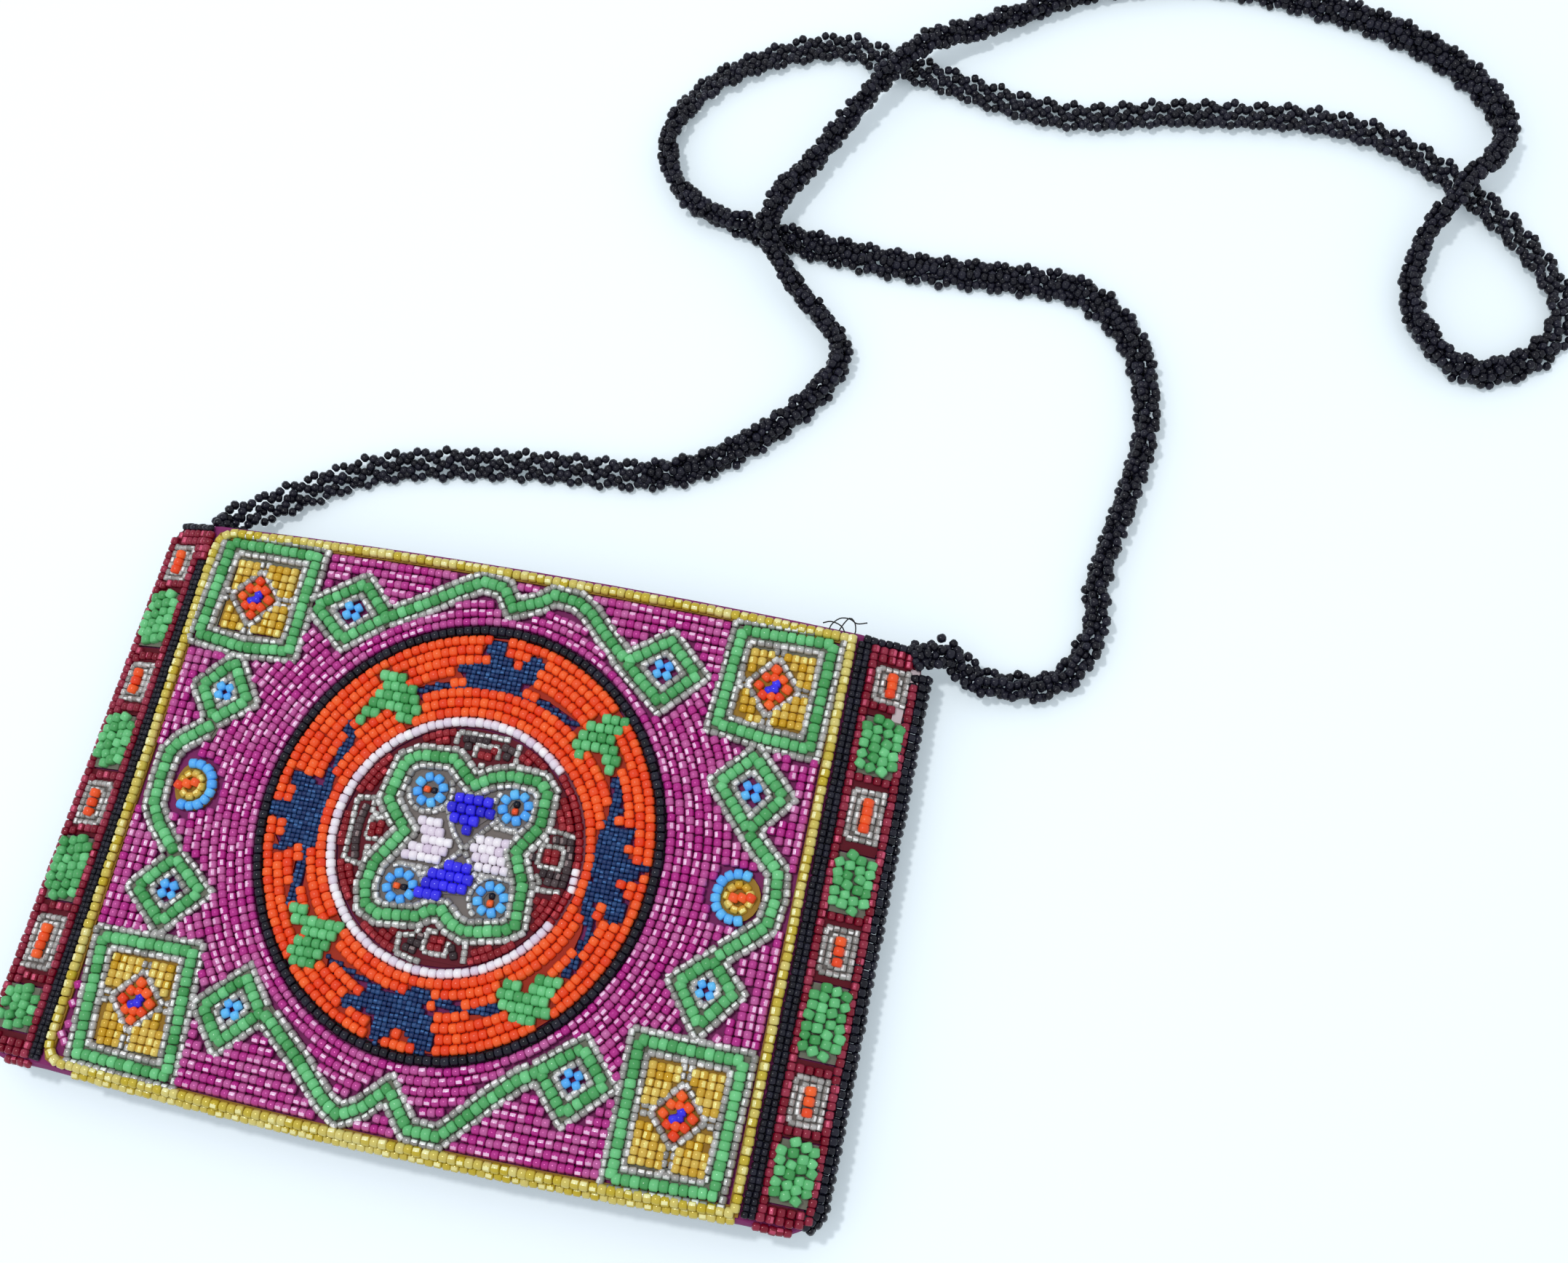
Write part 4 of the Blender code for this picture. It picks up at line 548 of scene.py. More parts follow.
def rosette():
    in_ring = grown(ROSETTE, PINK_OVAL, -1.5)
    row("green_foil", "green", QUATREFOIL, True)
    row("silver_foil", "silver", shifted(QUATREFOIL, BESIDE), True)
    row("silver_foil", "silver", shifted(QUATREFOIL, -BESIDE), True)
    outside = shifted(QUATREFOIL, 2.9)
    for outline, heart in zip(STEPS, STEP_HEARTS):
        row("silver_foil", "silver", outline, True, scale=0.85,
            keep=lambda p: in_ring(p) and not inside(p, shifted(QUATREFOIL, 2.4)))
        square = [(heart[0] - 2.2, heart[1] - 1.9), (heart[0] + 2.2, heart[1] - 1.9),
            (heart[0] + 2.2, heart[1] + 1.9),
                  (heart[0] - 2.2, heart[1] + 1.9)]
        row("silver_foil", "silver", square, True, scale=0.8, keep=lambda p: not inside(p, outside))

    def ground(p):
        if not in_ring(p) or inside(p, outside):
            return None
        for outline, heart in zip(STEPS, STEP_HEARTS):
            if distance(p, outline, True) < 0.95:
                return None
            if abs(p[0] - heart[0]) < 2.9 and abs(p[1] - heart[1]) < 2.6:
                return "deep" if abs(p[0] - heart[0]) < 1.5 and abs(p[1] - heart[1]) < 1.2 else None
            if inside(p, outline):
                return "brown"
        return "deep"

    for k in range(12):
        half = (21.6 - 1.35 * k, 21.4 - 1.35 * k)
        for (x, y), way in spaced(oval(ROSETTE, half, 80), 1.3, True):
            kind = ground((x, y))
            if kind:
                add_bead(kind + "_ground", kind, x, y, way)
    heart = shifted(QUATREFOIL, -2.9)
    for middle, black_side in zip(FLOWERS, ((1, 0), (0, 1), (1, 0), (0, 1))):
        for k in range(8):
            angle = pi / 4 * k + 0.3
            add_bead("sky_beads", "sky", middle[0] + 2.45 * cos(angle), middle[1]
                + 2.45 * sin(angle),
                     (-sin(angle), cos(angle)), scale=0.95)
        for side, kind in ((1, "black"), (-1, "orange")):
            add_bead("flower_" + kind, kind, middle[0] + side * black_side[0] * 0.7, middle[1]
                + side * black_side[1] * 0.7,
                     (black_side[1], black_side[0]), scale=0.75)
        row("silver_foil", "silver", oval(middle, (4.15, 4.15), 24), True, scale=0.85,
            keep=lambda p: inside(p, heart) and not any(inside(p, o) for o in BLUE_WEDGES + PINK_FANS))
    for group, kind, outlines in (("royal_beads", "royal", BLUE_WEDGES), ("pink_beads", "pink", PINK_FANS)):
        for outline in outlines:
            x0, x1, y0, _ = limits(outline)
            step = KINDS[kind][1] * 0.9
            for k in range(10):
                y = y0 + step * (k + 0.5)
                shift = (k % 2) * step / 2
                row(group, kind, [(x0 + shift, y), (x1 + shift, y)], keep=lambda p: inside(p, outline),
                    lift=0.15)
    for line in (((-0.6, 0.5), (-3.2, 3.0), (-5.4, 7.4)), ((-0.4, 0.6), (2.2, 4.4), (4.0, 6.6)),
        ((-0.8, 0.2), (-4.0, -3.4), (-7.2, -5.6)),
                 ((-0.2, 0.2), (2.2, -3.2), (4.2, -5.0)), ((-5.4, 7.4), (-9.6, 6.2)),
                 ((4.0, 5.6), (9.0, 5.2)), ((3.4, -3.6), (9.4, -3.4)),
                 ((-6.0, -4.2), (-12.4, -4.2))):
        row("silver_foil", "silver", line, scale=0.85)


def border():
    row("yellow_row", "yellow", face_line(1.0, 3.6), True)
    low_row = [(x, edge_bottom(x, -0.15)) for x in range(-62, 63, 4)]
    row("yellow_row", "yellow", low_row, lift=-1.35)


def blocks(surface, side, near, far, rows_y):
    """The silver and green blocks of a band, between near and far across it."""
    for number, (y, half) in enumerate(rows_y):
        bottom, top = y - half, y + half
        if number % 2:
            x0, x1 = near + 1.15, far - 1.15
            count = round((x1 - x0) / 1.95)
            for j in range(count):
                x = x0 + (x1 - x0) * (j + 0.5) / count
                drop = 1.3 if j in (0, count - 1) else 0.3
                for (px, py), way in spaced([(x, bottom + drop + (j % 2) * 0.6),
                    (x, top - drop + (j % 2) * 0.5)], 1.78):
                    add_bead("green_blocks_" + side, "green", px + jitter(0.25),
                             py + jitter(0.2), (jitter(0.6), 1.0), surface, 1.0,
                             chance.uniform(0.0, 0.35))
            continue
        x0, x1 = near + 1.7, far - 1.7
        middle = (x0 + x1) / 2
        for inset in (0.55, 1.85):
            loop = [(x0 + inset, bottom + inset), (x1 - inset, bottom + inset), (x1 - inset, top - inset),
                (x0 + inset, top - inset)]
            row("silver_band_" + side, "silver", loop, True, surface, scale=0.84)
        bar = (y - half * 0.62, y + half * 0.62)
        row("orange_bars", "orange", [(middle, bar[0]), (middle, bar[1])], False, surface, lift=0.35,
            scale=1.05)


RIGHT_BLOCKS = ((45.0, 3.6), (33.3, 5.7), (20.4, 5.0), (7.8, 5.7), (-4.4, 4.5), (-17.0, 6.9), (-30.7, 4.5),
    (-42.9, 5.7))
LEFT_BLOCKS = ((45.0, 3.8), (33.2, 5.8), (20.4, 4.0), (8.2, 5.6), (-4.0, 4.4), (-16.8, 6.4), (-30.9, 5.2),
    (-43.4, 4.4))


# where beads have come off the right band and its pale cloth shows
BARE = ((72.6, 40.0), (74.3, 47.6))


def band(side, surface, fold, far, rows_y, corner):
    """A side band from its fold out to its seam: two black rows, the red field and the blocks."""
    top, bottom = FIELD_TOP - 1.0, FIELD_BOTTOM + 0.4
    reach = top if side == "right" else top - 6.0
    scale, rows_at, near = (0.8, (0.6, 1.85), fold + 2.5) if side == "right" else (0.7, (0.5, 1.5), fold
        + 2.05)
    for across in rows_at:
        row("black_" + side, "black", [(fold + across, bottom), (fold + across, reach)], False, surface,
            scale=scale)
    count = round((far - near) / 1.6)
    pitch = (far - near) / count

    def clear(p):
        for number, (y, half) in enumerate(rows_y):
            margin = 1.0 if number % 2 else 1.6
            if abs(p[1] - y) < half + 0.35 and near + margin < p[0] < far - margin:
                return False
        return side == "left" or not any(abs(p[0] - x) < 0.9 and abs(p[1] - y) < 1.5 for x, y in BARE)

    for k in range(count):
        across = near + pitch * (k + 0.5)
        beyond = max(0.0, across - far + corner)
        cut = corner - sqrt(corner * corner - beyond * beyond)
        row("red_" + side, "red", [(across, bottom + cut), (across, top - min(cut, 1.8))], False, surface,
            keep=clear)
    if side == "left":
        for across in (0.6, 1.8):
            row("red_left", "red", [(fold + across, reach), (fold + across, top)], False, surface)
    row("black_" + side, "black", [(fold + 0.8, FIELD_TOP - 0.35), (far - 2.2, FIELD_TOP - 0.35)], False,
        surface, scale=0.9)
    row("red_" + side, "red", [(near, FIELD_BOTTOM - 0.5), (far - corner, FIELD_BOTTOM - 0.5)], False,
        surface, lift=-1.1)
    blocks(surface, side, near, far, rows_y)


def bands():
    band("right", on_slope, FIELD_RIGHT, FIELD_RIGHT + 12.6, RIGHT_BLOCKS, 3.2)
    band("left", on_left, 0.0, LEFT_WIDTH + 0.5, LEFT_BLOCKS, 5.0)


# Seam edging: short ribs of beads whipped over the right seam and round its corners

def edging():
    right = FIELD_RIGHT + 10.8 + 1.4
    spots = [(right, y, 0.0) for y in [FIELD_BOTTOM + 4.6 + 1.62 * k for k in range(60)]
        if y < FIELD_TOP - 3.4]
    for k in range(3):
        angle = radians(-15 - 17 * k)
        spots.append((right - 4.0 + 3.8 * cos(angle), FIELD_BOTTOM + 4.4 + 3.8 * sin(angle), angle))
    for x, y, turn in spots:
        out = Vector((cos(turn), sin(turn), 0.0))
        along = Vector((-out.y, out.x, 0.0))
        for k, (reach, height) in enumerate(((-0.9, 8.0), (0.45, 7.7), (1.45, 6.6), (1.25, 5.2))):
            middle = Vector((x, y, 0.0)) + out * (reach
                + jitter(0.12)) + along * (0.25 * k - 0.3)
            middle.z = height + jitter(0.12)
            tilt = radians((20, -25, -65, -100)[k])
            ahead = out * cos(tilt) + UPWARDS * sin(tilt)
            up = -out * sin(tilt) + UPWARDS * cos(tilt)
            grow = chance.uniform(0.94, 1.08)
            beads.setdefault("edging_beads", []).append((middle, ahead, up, 1.4 * grow, 1.65 * grow,
                1.65 * grow))


# The strap

TABLE = 2.2
OVER = TABLE + 4.4 + 0.5
# the strap from its left end to its right one; points without a height lie on the table
STRAP_ROUTE = (
    (-66.2, 54.9, 8.2), (-63.2, 58.3, 6.0), (-56.0, 64.4, 3.8), (-39.5, 74.0), (-12.0, 78.9), (14.6, 81.2),
    (29.6, 88.2), (43.4, 102.4), (46.4, 114.0, 2.8), (33.6, 126.4, 4.6), (27.4, 137.4, OVER),
    (34.0, 154.4, 4.6), (48.0, 178.2, OVER), (61.6, 188.4, 4.4), (84.0, 201.6), (109.0, 206.4),
    (139.0, 201.4), (159.6, 191.0, 3.0), (167.2, 177.4, 5.2), (161.4, 165.9, OVER), (153.8, 151.0, 4.0),
    (154.8, 136.0), (166.8, 127.0), (179.8, 134.6), (180.4, 147.6), (161.4, 166.5),
    (138.0, 177.2), (106.0, 176.0), (80.0, 172.2), (48.0, 178.9), (30.6, 182.0),
    (9.6, 171.4), (1.3, 156.0), (8.6, 141.4), (27.4, 136.4), (58.0, 133.8),
    (85.9, 134.0), (96.0, 130.4), (103.7, 122.0), (107.8, 107.5), (107.0, 95.2),
    (105.0, 82.9), (103.6, 72.6), (105.0, 65.8), (102.4, 56.6), (98.1, 52.3),
    (92.0, 51.1, 2.6), (84.7, 50.8, 4.2), (81.0, 53.2, 6.0), (78.1, 54.0, 7.0), (74.0, 52.2, 7.8),
)
# how far the strip is turned up on its edge, by the share of its length
TURNS = ((0.0, 25), (0.03, 15), (0.10, 20), (0.14, 45), (0.165, 75), (0.27, 80), (0.30, 60), (0.34, 30),
    (0.39, 35),
         (0.42, 60), (0.43, 80), (0.465, 75), (0.48, 40), (0.50, 20), (0.55, 10), (0.70, 5), (0.735, 20),
         (0.755, 75),
         (0.775, 75), (0.79, 30), (0.82, 5), (0.87, 15), (0.90, 40), (0.94, 45), (0.965, 25), (1.0, 15))


def smooth_route(points, step):
    knots = [Vector(p) for p in points]
    fine = []
    for k in range(len(knots) - 1):
        a = knots[max(k - 1, 0)]
        b, c = knots[k], knots[k + 1]
        d = knots[min(k + 2, len(knots) - 1)]
        for part in range(16):
            t = part / 16
            fine.append(0.5 * ((2 * b) + (c - a) * t + (2 * a - 5 * b + 4 * c - d) * t * t
                               + (3 * b - 3 * c + d - a) * t * t * t))
    fine.append(knots[-1])
    lengths = [0.0]
    for p, q in zip(fine, fine[1:]):
        lengths.append(lengths[-1] + (q - p).length)
    spread = []
    at = 0
    count = int(lengths[-1] / step)
    for k in range(count + 1):
        target = lengths[-1] * k / count
        while at < len(lengths) - 2 and lengths[at + 1] < target:
            at += 1
        part = (target - lengths[at]) / (lengths[at + 1] - lengths[at])
        spread.append(fine[at].lerp(fine[at + 1], part))
    return spread, lengths[-1]


def turn_at(share):
    for (s0, a0), (s1, a1) in zip(TURNS, TURNS[1:]):
        if s0 <= share <= s1:
            part = (share - s0) / (s1 - s0)
            part = part * part * (3 - 2 * part)
            return radians(a0 + (a1 - a0) * part)
    return 0.0


STRANDS = ((-2.4, 1), (-0.8, -1), (0.8, 1), (2.4, -1))     # each strand's place across and the way it swings
SWING, CELL = 0.75, 5.4
OPEN_NET = ((0.0, 0.10), (0.5, 0.74))                         # shares of the length where the holes are open


def strap():
    step = 1.48
    points = [p if len(p) == 3 else (*p, TABLE) for p in STRAP_ROUTE]
    centres, length = smooth_route(points, step)
    path = []
    for k, centre in enumerate(centres):
        angle = turn_at(k / (len(centres) - 1))
        flat = (TABLE - 1.0) * (1 - sin(angle)) if centre.z < TABLE + 3.5 else 0.0
        path.append(Vector((centre.x, centre.y, max(centre.z - flat, 1.0 + 2.4 * sin(angle)))))
    for k, centre in enumerate(path):
        angle = turn_at(k / (len(path) - 1))
        ahead = (path[min(k + 1, len(path) - 1)] - path[max(k - 1, 0)]).normalized()
        level = UPWARDS.cross(ahead).normalized()
        up = ahead.cross(level).normalized()
        side = level * cos(angle) + up * sin(angle)
        face = ahead.cross(side).normalized()
        phase = (k * step / CELL) % 1.0
        wave = abs(phase * 2 - 1) * 2 - 1
        for strand, (base, sign) in enumerate(STRANDS):
            narrow = 1.0 - 0.3 * sin(angle)
            offset = (base + sign * wave * SWING) * narrow
            lift = 0.3 * sin(k * 1.7 + strand * 2.1)
            middle = centre + side * offset + face * lift + ahead * (0.5 * (strand % 2) * step)
            lean = sign * (0.5 if phase < 0.5 else -0.5)
            place_strap_bead(middle, (ahead + side * -lean).normalized(), face)
        share = k / (len(path) - 1)
        if not any(start < share < end for start, end in OPEN_NET):
            bulge = 0.9 + 0.7 * sin(angle)
            for way, reach in ((-1, -1.4), (1, 0.0), (-1, 1.4)):
                middle = centre + face * way * bulge * chance.uniform(0.5, 1.0) + side * (reach
                    + jitter(0.7))
                middle.z = max(middle.z, 0.9)
                place_strap_bead(middle, (ahead + side * jitter(0.5)).normalized(), face)
    return path, length


def strap_ends(path):
    """The bunch of beads at each corner that ties the strap to the bag."""
    for end, after in ((path[0], path[3]), (path[-1], path[-4])):
        way = (end - after).normalized()
        side = UPWARDS.cross(way).normalized()
        up = way.cross(side)
        for k in range(22):
            angle = 2.4 * k
            reach = 1.9 * sqrt((k + 0.5) / 22)
            middle = end + way * chance.uniform(-0.6,
                1.6) + side * reach * cos(angle) + up * reach * 0.75 * sin(angle)
            place_strap_bead(middle, side, up)


def place_strap_bead(middle, way, face):
    grow = chance.uniform(0.93, 1.08)
    long, wide = STRAP_BEAD[0] * grow, STRAP_BEAD[1] * grow
    beads.setdefault("strap_net", []).append((middle, way, face, long, wide, wide))


# Materials and meshes

SHINE = 0.3                 # specular level of every finish


def material(name, colour, roughness, metallic=0.0, coat=0.0, lightest=None):
    """A finish; where a lightest colour is given, each bead face is mixed towards it by a stored share: a
    random tone for each bead, and a painted highlight on the faces with a glint.
    """
    made = bpy.data.materials.new(name)
    made.use_nodes = True
    nodes, links = made.node_tree.nodes, made.node_tree.links
    shader = nodes["Principled BSDF"]
    shader.inputs["Roughness"].default_value = roughness
    shader.inputs["Metallic"].default_value = metallic
    shader.inputs["Coat Weight"].default_value = coat
    shader.inputs["Specular IOR Level"].default_value = SHINE
    shader.inputs["Coat Roughness"].default_value = 0.08
    shader.inputs["Base Color"].default_value = (*colour, 1.0)
    made.diffuse_color = (*colour, 1.0)
    if lightest:
        tone_and_glint = nodes.new("ShaderNodeAttribute")
        tone_and_glint.attribute_name = "tone_and_glint"
        ramp = nodes.new("ShaderNodeMix")
        ramp.data_type = "RGBA"
        links.new(tone_and_glint.outputs["Fac"], ramp.inputs["Factor"])
        ramp.inputs["A"].default_value = (*colour, 1.0)
        ramp.inputs["B"].default_value = (*lightest, 1.0)
        links.new(ramp.outputs["Result"], shader.inputs["Base Color"])
    return made


def new_piece(name, points, polygons, finish):
    mesh = bpy.data.meshes.new(name)
    mesh.from_pydata(points, [], polygons)
    mesh.materials.append(finish)
    piece = bpy.data.objects.new(name, mesh)
    bpy.context.scene.collection.objects.link(piece)
    return piece


def seed_shape(whole):
    """Template points and faces of a bead: its thread runs along x and its top is up z."""
    stations = ((-0.5, 0.68), (-0.35, 0.97), (0.35, 0.97), (0.5, 0.68))
    if whole:
        stations = ((-0.5, 0.6), (-0.24, 1.0), (0.24, 1.0), (0.5, 0.6))
    points, faces = [], []
    start, sweep = (0.0, 360.0) if whole else (-32.0, 244.0)
    count = AROUND if whole else AROUND + 1
    for x, radius in stations:
        for k in range(count):
            angle = radians(start + sweep * k / AROUND)
            points.append((x, 0.5 * radius * cos(angle), 0.5 * radius * sin(angle)))
    for s in range(len(stations) - 1):
        for k in range(AROUND):
            a = s * count + k
            b = s * count + (k + 1) % count
            faces.append((a, b, b + count, a + count))
    faces.append(tuple(range(count))[::-1])
    faces.append(tuple(range(3 * count, 4 * count)))
    return points, faces


def bead_mesh(name, places, kind, whole=False):
    """One mesh for many beads. On glassy ones single faces along the top are painted about as light as the
    lightest colour, a painted highlight (glint).
    """
    template, faces = seed_shape(whole)
    rare, glint, level = LOOKS[kind][5:]
    points, polygons, tones_and_glints = [], [], []
    for middle, ahead, up, long, wide, tall in places:
        side = up.cross(ahead).normalized()
        up = ahead.cross(side).normalized()
        start = len(points)
        for x, y, z in template:
            offset = (x * long, y * wide, z * tall)
            points.append((middle + SHIFT + ahead * offset[0] + side * offset[1] + up * offset[2]) * MM)
        polygons += [tuple(start + k for k in face) for face in faces]
        shade = [level * chance.random() ** rare] * len(faces)
        # painted highlight: one top face of some beads is set close to the lightest colour, a glint painted
        # into the colour
        if chance.random() < glint:
            shade[AROUND + AROUND // 2 - chance.randrange(2)] = chance.uniform(0.6, 1.0)
        tones_and_glints += shade
    piece = new_piece(name, points, polygons, FINISHES[kind])
    layer = piece.data.attributes.new("tone_and_glint", "FLOAT", "FACE")
    layer.data.foreach_set("value", tones_and_glints)
    piece.data.polygons.foreach_set("use_smooth", [True] * len(polygons))
    return piece


def cloth_height(x, y):
    """Height of the cloth under the beads."""
    beyond = max(x - FIELD_RIGHT, FIELD_LEFT + LEFT_SKEW * y - x, 0.0)
    return CLOTH_TOP - beyond * tan(SLOPE)


def base_mesh(name, nodes, colour, share):
    """The base that beads sit on: their nodes' shape, pressed down to a share of its height, in a colour
    darker than its beads as painted shade in the gaps.
    """
    points, polygons = [], []
    for node in nodes:
        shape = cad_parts[node].data
        start = len(points)
        for vertex in shape.vertices:
            spot = vertex.co / MM - SHIFT
            level = cloth_height(spot.x, spot.y)
            if spot.z > level:
                spot.z = level + share * (spot.z - level)
            points.append((spot + SHIFT) * MM)
        polygons += [tuple(start + k for k in face.vertices) for face in shape.polygons]
    piece = new_piece(name, points, polygons, material(name, colour, 0.7))
    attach(piece, "bag")
    return piece


magenta_ground()
green_figures()
corner_fills()
eyes()
medallion()
rosette()
border()
bands()
edging()
strap_path, strap_length = strap()
strap_ends(strap_path)

# finish of each kind: darkest and lightest colour (the lightest also colours the painted highlights),
# roughness, metallic, coat, how rare light beads are, share of beads with a painted highlight (glint) on one
# top face, and how light a whole bead gets
LOOKS = {
    "magenta": ((0.47, 0.013, 0.25), (0.97, 0.64, 0.88), 0.22, 0.15, 0.25, 1.5, 0.5, 0.2),
    "silver": ((0.27, 0.26, 0.245), (0.98, 0.98, 0.97), 0.2, 0.25, 0.3, 1.2, 0.6, 0.4),
    "green": ((0.05, 0.31, 0.08), (0.17, 0.62, 0.25), 0.3, 0.0, 0.2, 1.0, 0.0, 1.0),
    "orange": ((0.83, 0.046, 0.007), (0.97, 0.13, 0.019), 0.28, 0.0, 0.15, 1.0, 0.0, 1.0),
    "amber": ((0.61, 0.34, 0.008), (0.97, 0.88, 0.30), 0.2, 0.1, 0.25, 1.3, 0.5, 0.4),
    "yellow": ((0.57, 0.43, 0.019), (0.97, 0.94, 0.48), 0.2, 0.1, 0.25, 1.3, 0.5, 0.4),
    "red": ((0.20, 0.001, 0.016), (0.70, 0.10, 0.20), 0.2, 0.1, 0.2, 1.6, 0.25, 0.3),
    "black": ((0.005, 0.005, 0.010), (0.013, 0.013, 0.026), 0.18, 0.0, 0.0, 1.5, 0.0, 1.0),
    "pink": ((0.72, 0.60, 0.75), (0.97, 0.94, 0.97), 0.25, 0.0, 0.2, 0.8, 0.0, 1.0),
    "navy": ((0.007, 0.026, 0.11), (0.05, 0.16, 0.40), 0.4, 0.0, 0.0, 2.0, 0.25, 0.4),
    "sky": ((0.078, 0.39, 0.95), (0.13, 0.55, 0.97), 0.28, 0.0, 0.2, 1.0, 0.0, 1.0),
    "royal": ((0.021, 0.013, 0.62), (0.046, 0.033, 0.96), 0.22, 0.0, 0.2, 1.0, 0.0, 1.0),
    "deep": ((0.21, 0.001, 0.007), (0.62, 0.06, 0.08), 0.2, 0.1, 0.2, 1.4, 0.2, 0.3),
    "brown": ((0.031, 0.017, 0.021), (0.30, 0.22, 0.22), 0.24, 0.05, 0.2, 1.4, 0.25, 0.2),
}
FINISHES = {}
for kind, (darkest, lightest, roughness, metallic, coat, *_) in LOOKS.items():
    FINISHES[kind] = material("bead_" + kind, darkest, roughness, metallic, coat, lightest)
# Colours of the cloth and of the bases under the beads: darker than the beads on them, painted shade for the
# gaps between beads; the cloth is painted dark magenta instead of its own pale colour for that painted
# shade.
GAP_SHADE_BASES = {
    "magenta": (0.221, 0.019, 0.130), "orange": (0.364, 0.023, 0.005), "green": (0.169, 0.169, 0.130),
        "amber": (0.312, 0.169, 0.016),
    "red": (0.111, 0.001, 0.010), "black": (0.008, 0.008, 0.010), "pink": (0.182, 0.039, 0.065),
    "silver": (0.182, 0.156, 0.143),
}
BLACK_CLOTH = material("cloth_black", (0.012, 0.012, 0.014), 0.85)
BLACK_TAPE = material("zip_black", (0.01, 0.01, 0.012), 0.5)
METAL = material("zip_metal", (0.42, 0.31, 0.15), 0.35, 0.9)

SIDES = ("top", "bottom", "left", "right")
SQUARES = ("top_left", "top_right", "bottom_left", "bottom_right")


def named(stem, ends):
    return tuple("%s_%s" % (stem, end) for end in ends)


# group, kind, slot and the nodes that it stands for
PIECES = (
    ("magenta_edges", "magenta", "cloth"),
    ("magenta_inner", "magenta", "cloth"),
    ("magenta_outer", "magenta", "cloth"),
    ("silver_lines", "silver", "silver"),
    ("sky_beads", "sky", "blue"),
    ("amber_patches", "amber", "yellow", *named("corner_fill", SQUARES)),
    ("orange_diamonds", "orange", "orange"),
    ("royal_beads", "royal", "blue"),
    ("amber_eyes", "amber", "yellow", "eye_left", "eye_right"),
    ("black_ring", "black", "black", "ring_black"),
    ("orange_outer", "orange", "orange", "ring_orange"),
    ("orange_inner", "orange", "orange"),
    ("green_leaves", "green", "green"),
    ("navy_figures", "navy", "navy", *named("figure", SIDES)),
    ("pink_beads", "pink", "pink", "ring_pink"),
    ("green_foil", "green", "green", "quatrefoil"),
    ("silver_foil", "silver", "silver", "rosette_heart"),
    ("deep_ground", "deep", "red", "rosette_ground"),
    ("brown_ground", "brown", "red"),
    ("flower_black", "black", "black"),
    ("flower_orange", "orange", "orange"),
    ("yellow_row", "yellow", "yellow", "border_yellow"),
    ("green_blocks_right", "green", "green", *named("green_block_right", range(1, 5))),
    ("green_blocks_left", "green", "green", *named("green_block_left", range(1, 5))),
    ("silver_band_right", "silver", "silver", *named("silver_block_right", range(1, 5))),
    ("silver_band_left", "silver", "silver", *named("silver_block_left", range(1, 5))),
    ("orange_bars", "orange", "orange"),
    ("black_right", "black", "black", "black_line_right"),
    ("black_left", "black", "black", "black_line_left"),
    ("red_right", "red", "red", "band_right"),
    ("red_left", "red", "red", "band_left"),
    ("edging_beads", "black", "black", "edging_right"),
)
for group, kind, slot, *nodes in PIECES:
    piece = bead_mesh(group, beads.pop(group), kind)
    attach(piece, "bag")
    if nodes:
        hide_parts(*nodes)
STANDS_FOR = dict(zip(named("green", SIDES), named("vine", SIDES)))
STANDS_FOR.update(zip(named("green_square", SQUARES), named("corner_frame", SQUARES)))
for group, node in STANDS_FOR.items():
    piece = bead_mesh(group, beads.pop(group), "green")
    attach(piece, "bag")
    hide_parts(node)

net = bead_mesh("strap_net", beads.pop("strap_net"), "black", whole=True)
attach(net, "bag")
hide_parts("strap", "strap_end_left", "strap_end_right")
# the cloth under the beads gets the dark magenta base colour, painted shade between the beads, not its own
# pale colour
cloth = base_mesh("front_cloth_gap_shade", ("front_panel",), GAP_SHADE_BASES["magenta"], 0.0)
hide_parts("front_panel")

# the other nodes' bases, by colour and slot; their colours are painted shade for the gaps between beads
BLOCKS = ["%s_%d" % (side, k) for side in ("left", "right") for k in range(1, 5)]
UNDER = (
    ("green", "green", named("vine", SIDES) + named("corner_frame", SQUARES) + ("quatrefoil",)
     + named("green_block", BLOCKS)),
    ("amber", "yellow", named("corner_fill", SQUARES) + ("eye_left", "eye_right", "border_yellow")),
    ("orange", "orange", ["ring_orange"]), ("black", "black",
    ["ring_black", "black_line_left", "black_line_right"]),
    ("red", "red", ["band_left", "band_right", "rosette_ground"]), ("pink", "pink", ["ring_pink"]),
    ("silver", "silver", ("rosette_heart",) + named("silver_block", BLOCKS)),
)
for colour, slot, nodes in UNDER:
    base_mesh("base_" + colour, nodes, GAP_SHADE_BASES[colour], BASE_SHARE)

for name, finish in (("back_panel", BLACK_CLOTH), ("lining", BLACK_CLOTH), ("zip_front", BLACK_TAPE),
    ("zip_back", BLACK_TAPE),
                     ("zip_slider", METAL), ("zip_pull", METAL)):
    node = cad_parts[name]
    node.data.materials.clear()
    node.data.materials.append(finish)

# pale cloth where beads are missing
corners = []
for x, y in BARE:
    corners += [(on_slope(x + dx, y + dy, 0.7)[0] + SHIFT) * MM for dx,
        dy in ((-1.0, -1.6), (0.9, -1.5), (1.0, 1.5), (-0.8, 1.7))]
pale = material("cloth_pale", (0.62, 0.52, 0.55), 0.9)
bare = new_piece("bare_cloth", corners, [(0, 1, 2, 3), (4, 5, 6, 7)], pale)
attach(bare, "bag")

# loose ends of black sewing thread at the right end of the top edge
THREADS = (((57.0, 52.6, 11.6), (57.4, 54.2, 12.0), (58.8, 55.6, 12.2), (60.6, 55.8, 12.0),
    (62.0, 55.2, 11.8), (63.8, 55.8, 11.4)),
           ((58.8, 52.8, 11.8), (59.6, 54.6, 12.2), (60.6, 55.9, 12.4), (61.6, 55.2, 12.2),
           (62.0, 53.8, 11.8), (61.8, 52.8, 11.4)),
           ((60.4, 52.6, 12.0), (59.4, 54.0, 12.6), (57.4, 54.6, 12.6), (55.8, 54.2, 12.2)))


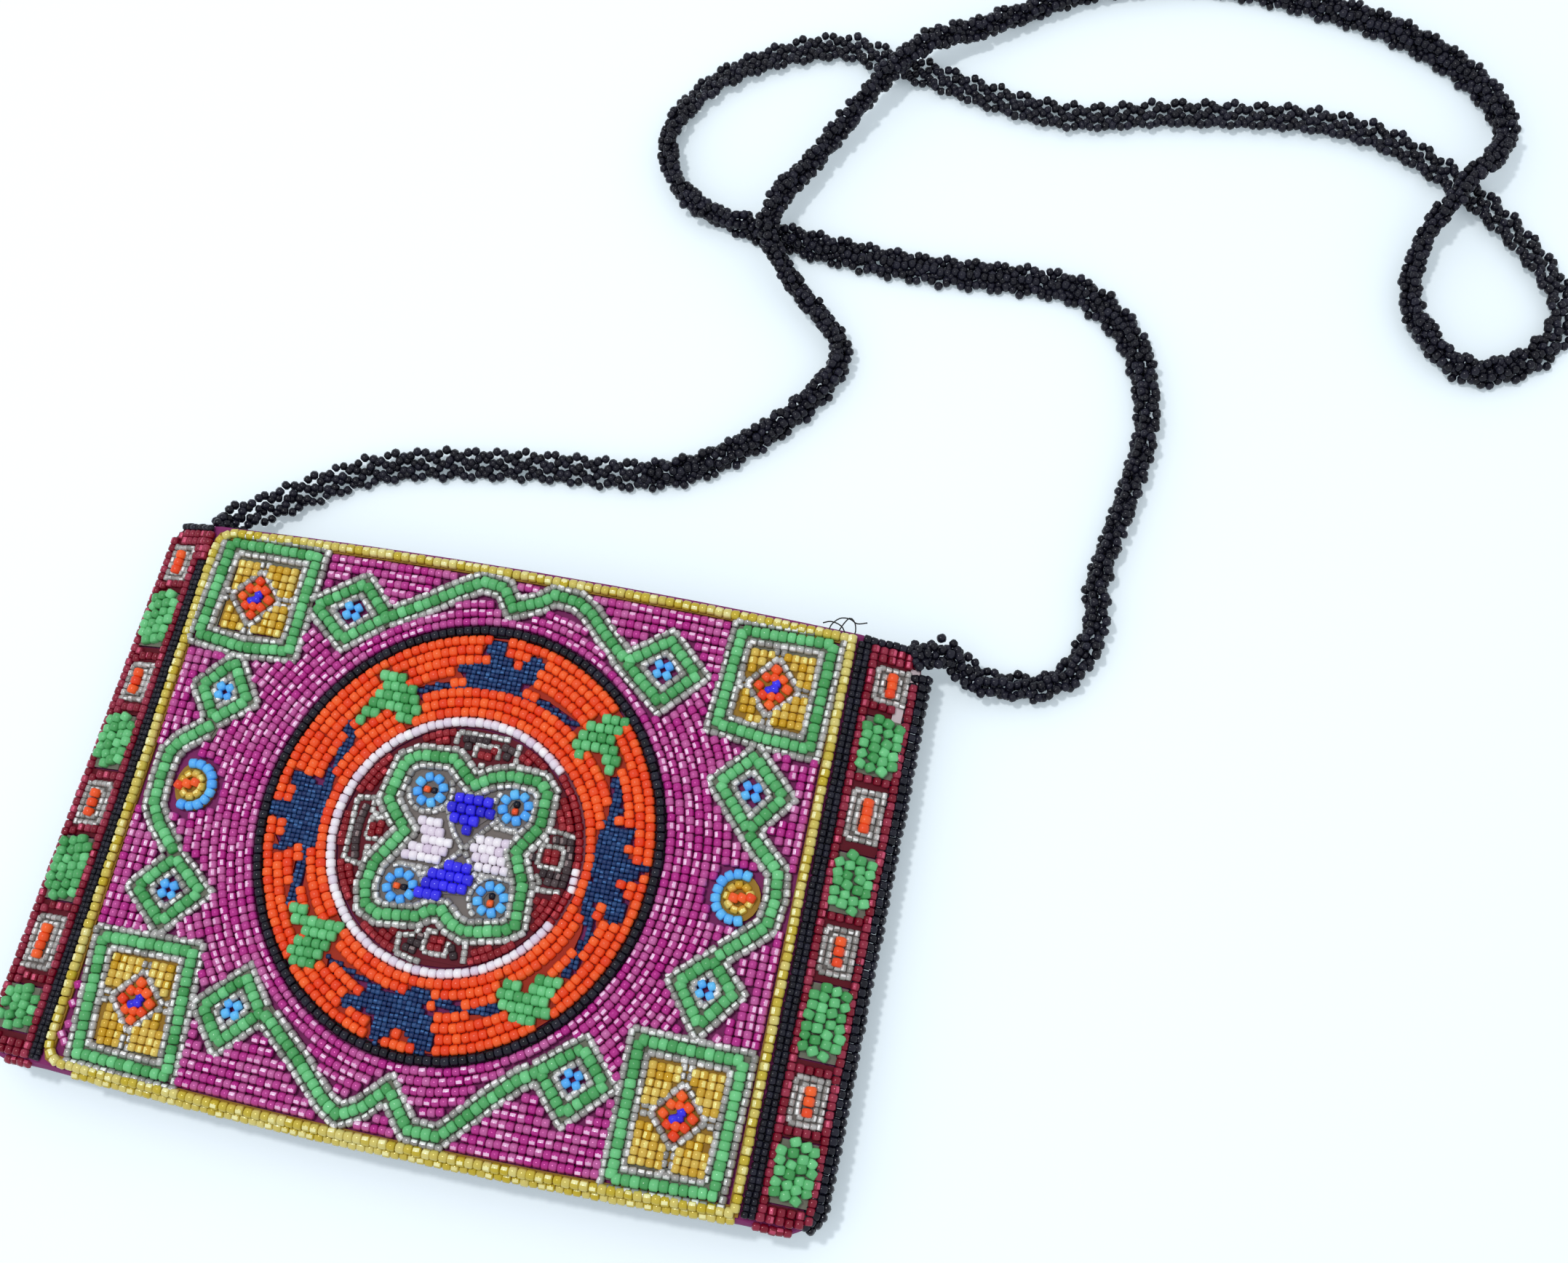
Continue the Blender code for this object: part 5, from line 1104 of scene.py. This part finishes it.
def thread_mesh(name, lines, radius):
    points, polygons = [], []
    for line in lines:
        spread, _ = smooth_route(line, 0.5)
        for k, spot in enumerate(spread):
            ahead = (spread[min(k + 1, len(spread) - 1)] - spread[max(k - 1, 0)]).normalized()
            side = UPWARDS.cross(ahead).normalized()
            up = ahead.cross(side)
            start = len(points)
            for j in range(5):
                angle = 2 * pi * j / 5
                points.append((spot + (side * cos(angle) + up * sin(angle)) * radius + SHIFT) * MM)
            if k:
                polygons += [(start - 5 + j, start - 5 + (j + 1) % 5, start + (j + 1) % 5, start + j)
                    for j in range(5)]
            if k in (0, len(spread) - 1):
                polygons.append(tuple(range(start, start + 5)))
    return new_piece(name, points, polygons, BLACK_TAPE)


threads = thread_mesh("thread_ends", THREADS, 0.13)
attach(threads, "bag")

# The sheet that the bag lies on
SHEET_HALF, SHEET_LEVEL, SHEET_GLOW = 2.0, -0.0002, 0.22
white = material("white_sheet", (0.84, 0.91, 0.95), 0.9)
seen = white.node_tree.nodes.new("ShaderNodeLightPath")
dimmed = white.node_tree.nodes.new("ShaderNodeMath")
dimmed.operation = "MULTIPLY"
dimmed.inputs[1].default_value = SHEET_GLOW
white.node_tree.links.new(seen.outputs["Is Camera Ray"], dimmed.inputs[0])
shader = white.node_tree.nodes["Principled BSDF"]
shader.inputs["Emission Color"].default_value = (0.72, 0.90, 1.0, 1.0)
white.node_tree.links.new(dimmed.outputs["Value"], shader.inputs["Emission Strength"])
corners = [(x * SHEET_HALF, y * SHEET_HALF, SHEET_LEVEL) for x, y in ((-1, -1), (1, -1), (1, 1), (-1, 1))]
floor = new_piece("sheet", corners, [(0, 1, 2, 3)], white)

SKY_COLOUR, SKY_STRENGTH = (0.93, 0.96, 1.0, 1.0), 0.74

# Light: a bright sky all round and a small bright key above the bag, a little to its left
world = bpy.data.worlds.new("sky")
bpy.context.scene.world = world
world.use_nodes = True
background = world.node_tree.nodes["Background"]
background.inputs["Color"].default_value = SKY_COLOUR
background.inputs["Strength"].default_value = SKY_STRENGTH


def lamp(name, place, target, size, power):
    light = bpy.data.lights.new(name, "AREA")
    light.shape = "DISK"
    light.size = size
    light.energy = power
    thing = bpy.data.objects.new(name, light)
    thing.location = place
    thing.rotation_euler = (Vector(target) - Vector(place)).to_track_quat("-Z", "Y").to_euler()
    bpy.context.scene.collection.objects.link(thing)


KEY_PLACE, KEY_TARGET, KEY_SIZE, KEY_POWER = (-0.19, 0.12, 0.93), (0.03, 0.05, 0.0), 0.09, 2.7
lamp("key", KEY_PLACE, KEY_TARGET, KEY_SIZE, KEY_POWER)

# Camera, from the corners of the yellow frame in the photo
camera_data = bpy.data.cameras.new("camera")
SENSOR, LENS = 36.0, 43.14
camera_data.sensor_width = SENSOR
camera_data.lens = LENS
camera_data.clip_start = 0.01
camera = bpy.data.objects.new("camera", camera_data)
bpy.context.scene.collection.objects.link(camera)
view = Vector((-0.16525, 0.26077, -0.95115)).normalized()
top = Vector((-0.16504, 0.94350, 0.28734))
right = view.cross(top).normalized()
top = right.cross(view).normalized()
place = (Vector((106.52, -39.51, 330.20 + 13.2)) + SHIFT) * MM
camera.matrix_world = Matrix(((right.x, top.x, -view.x, place.x), (right.y, top.y, -view.y, place.y),
                              (right.z, top.z, -view.z, place.z), (0.0, 0.0, 0.0, 1.0)))
scene = bpy.context.scene
scene.camera = camera
scene.view_settings.view_transform = "Standard"
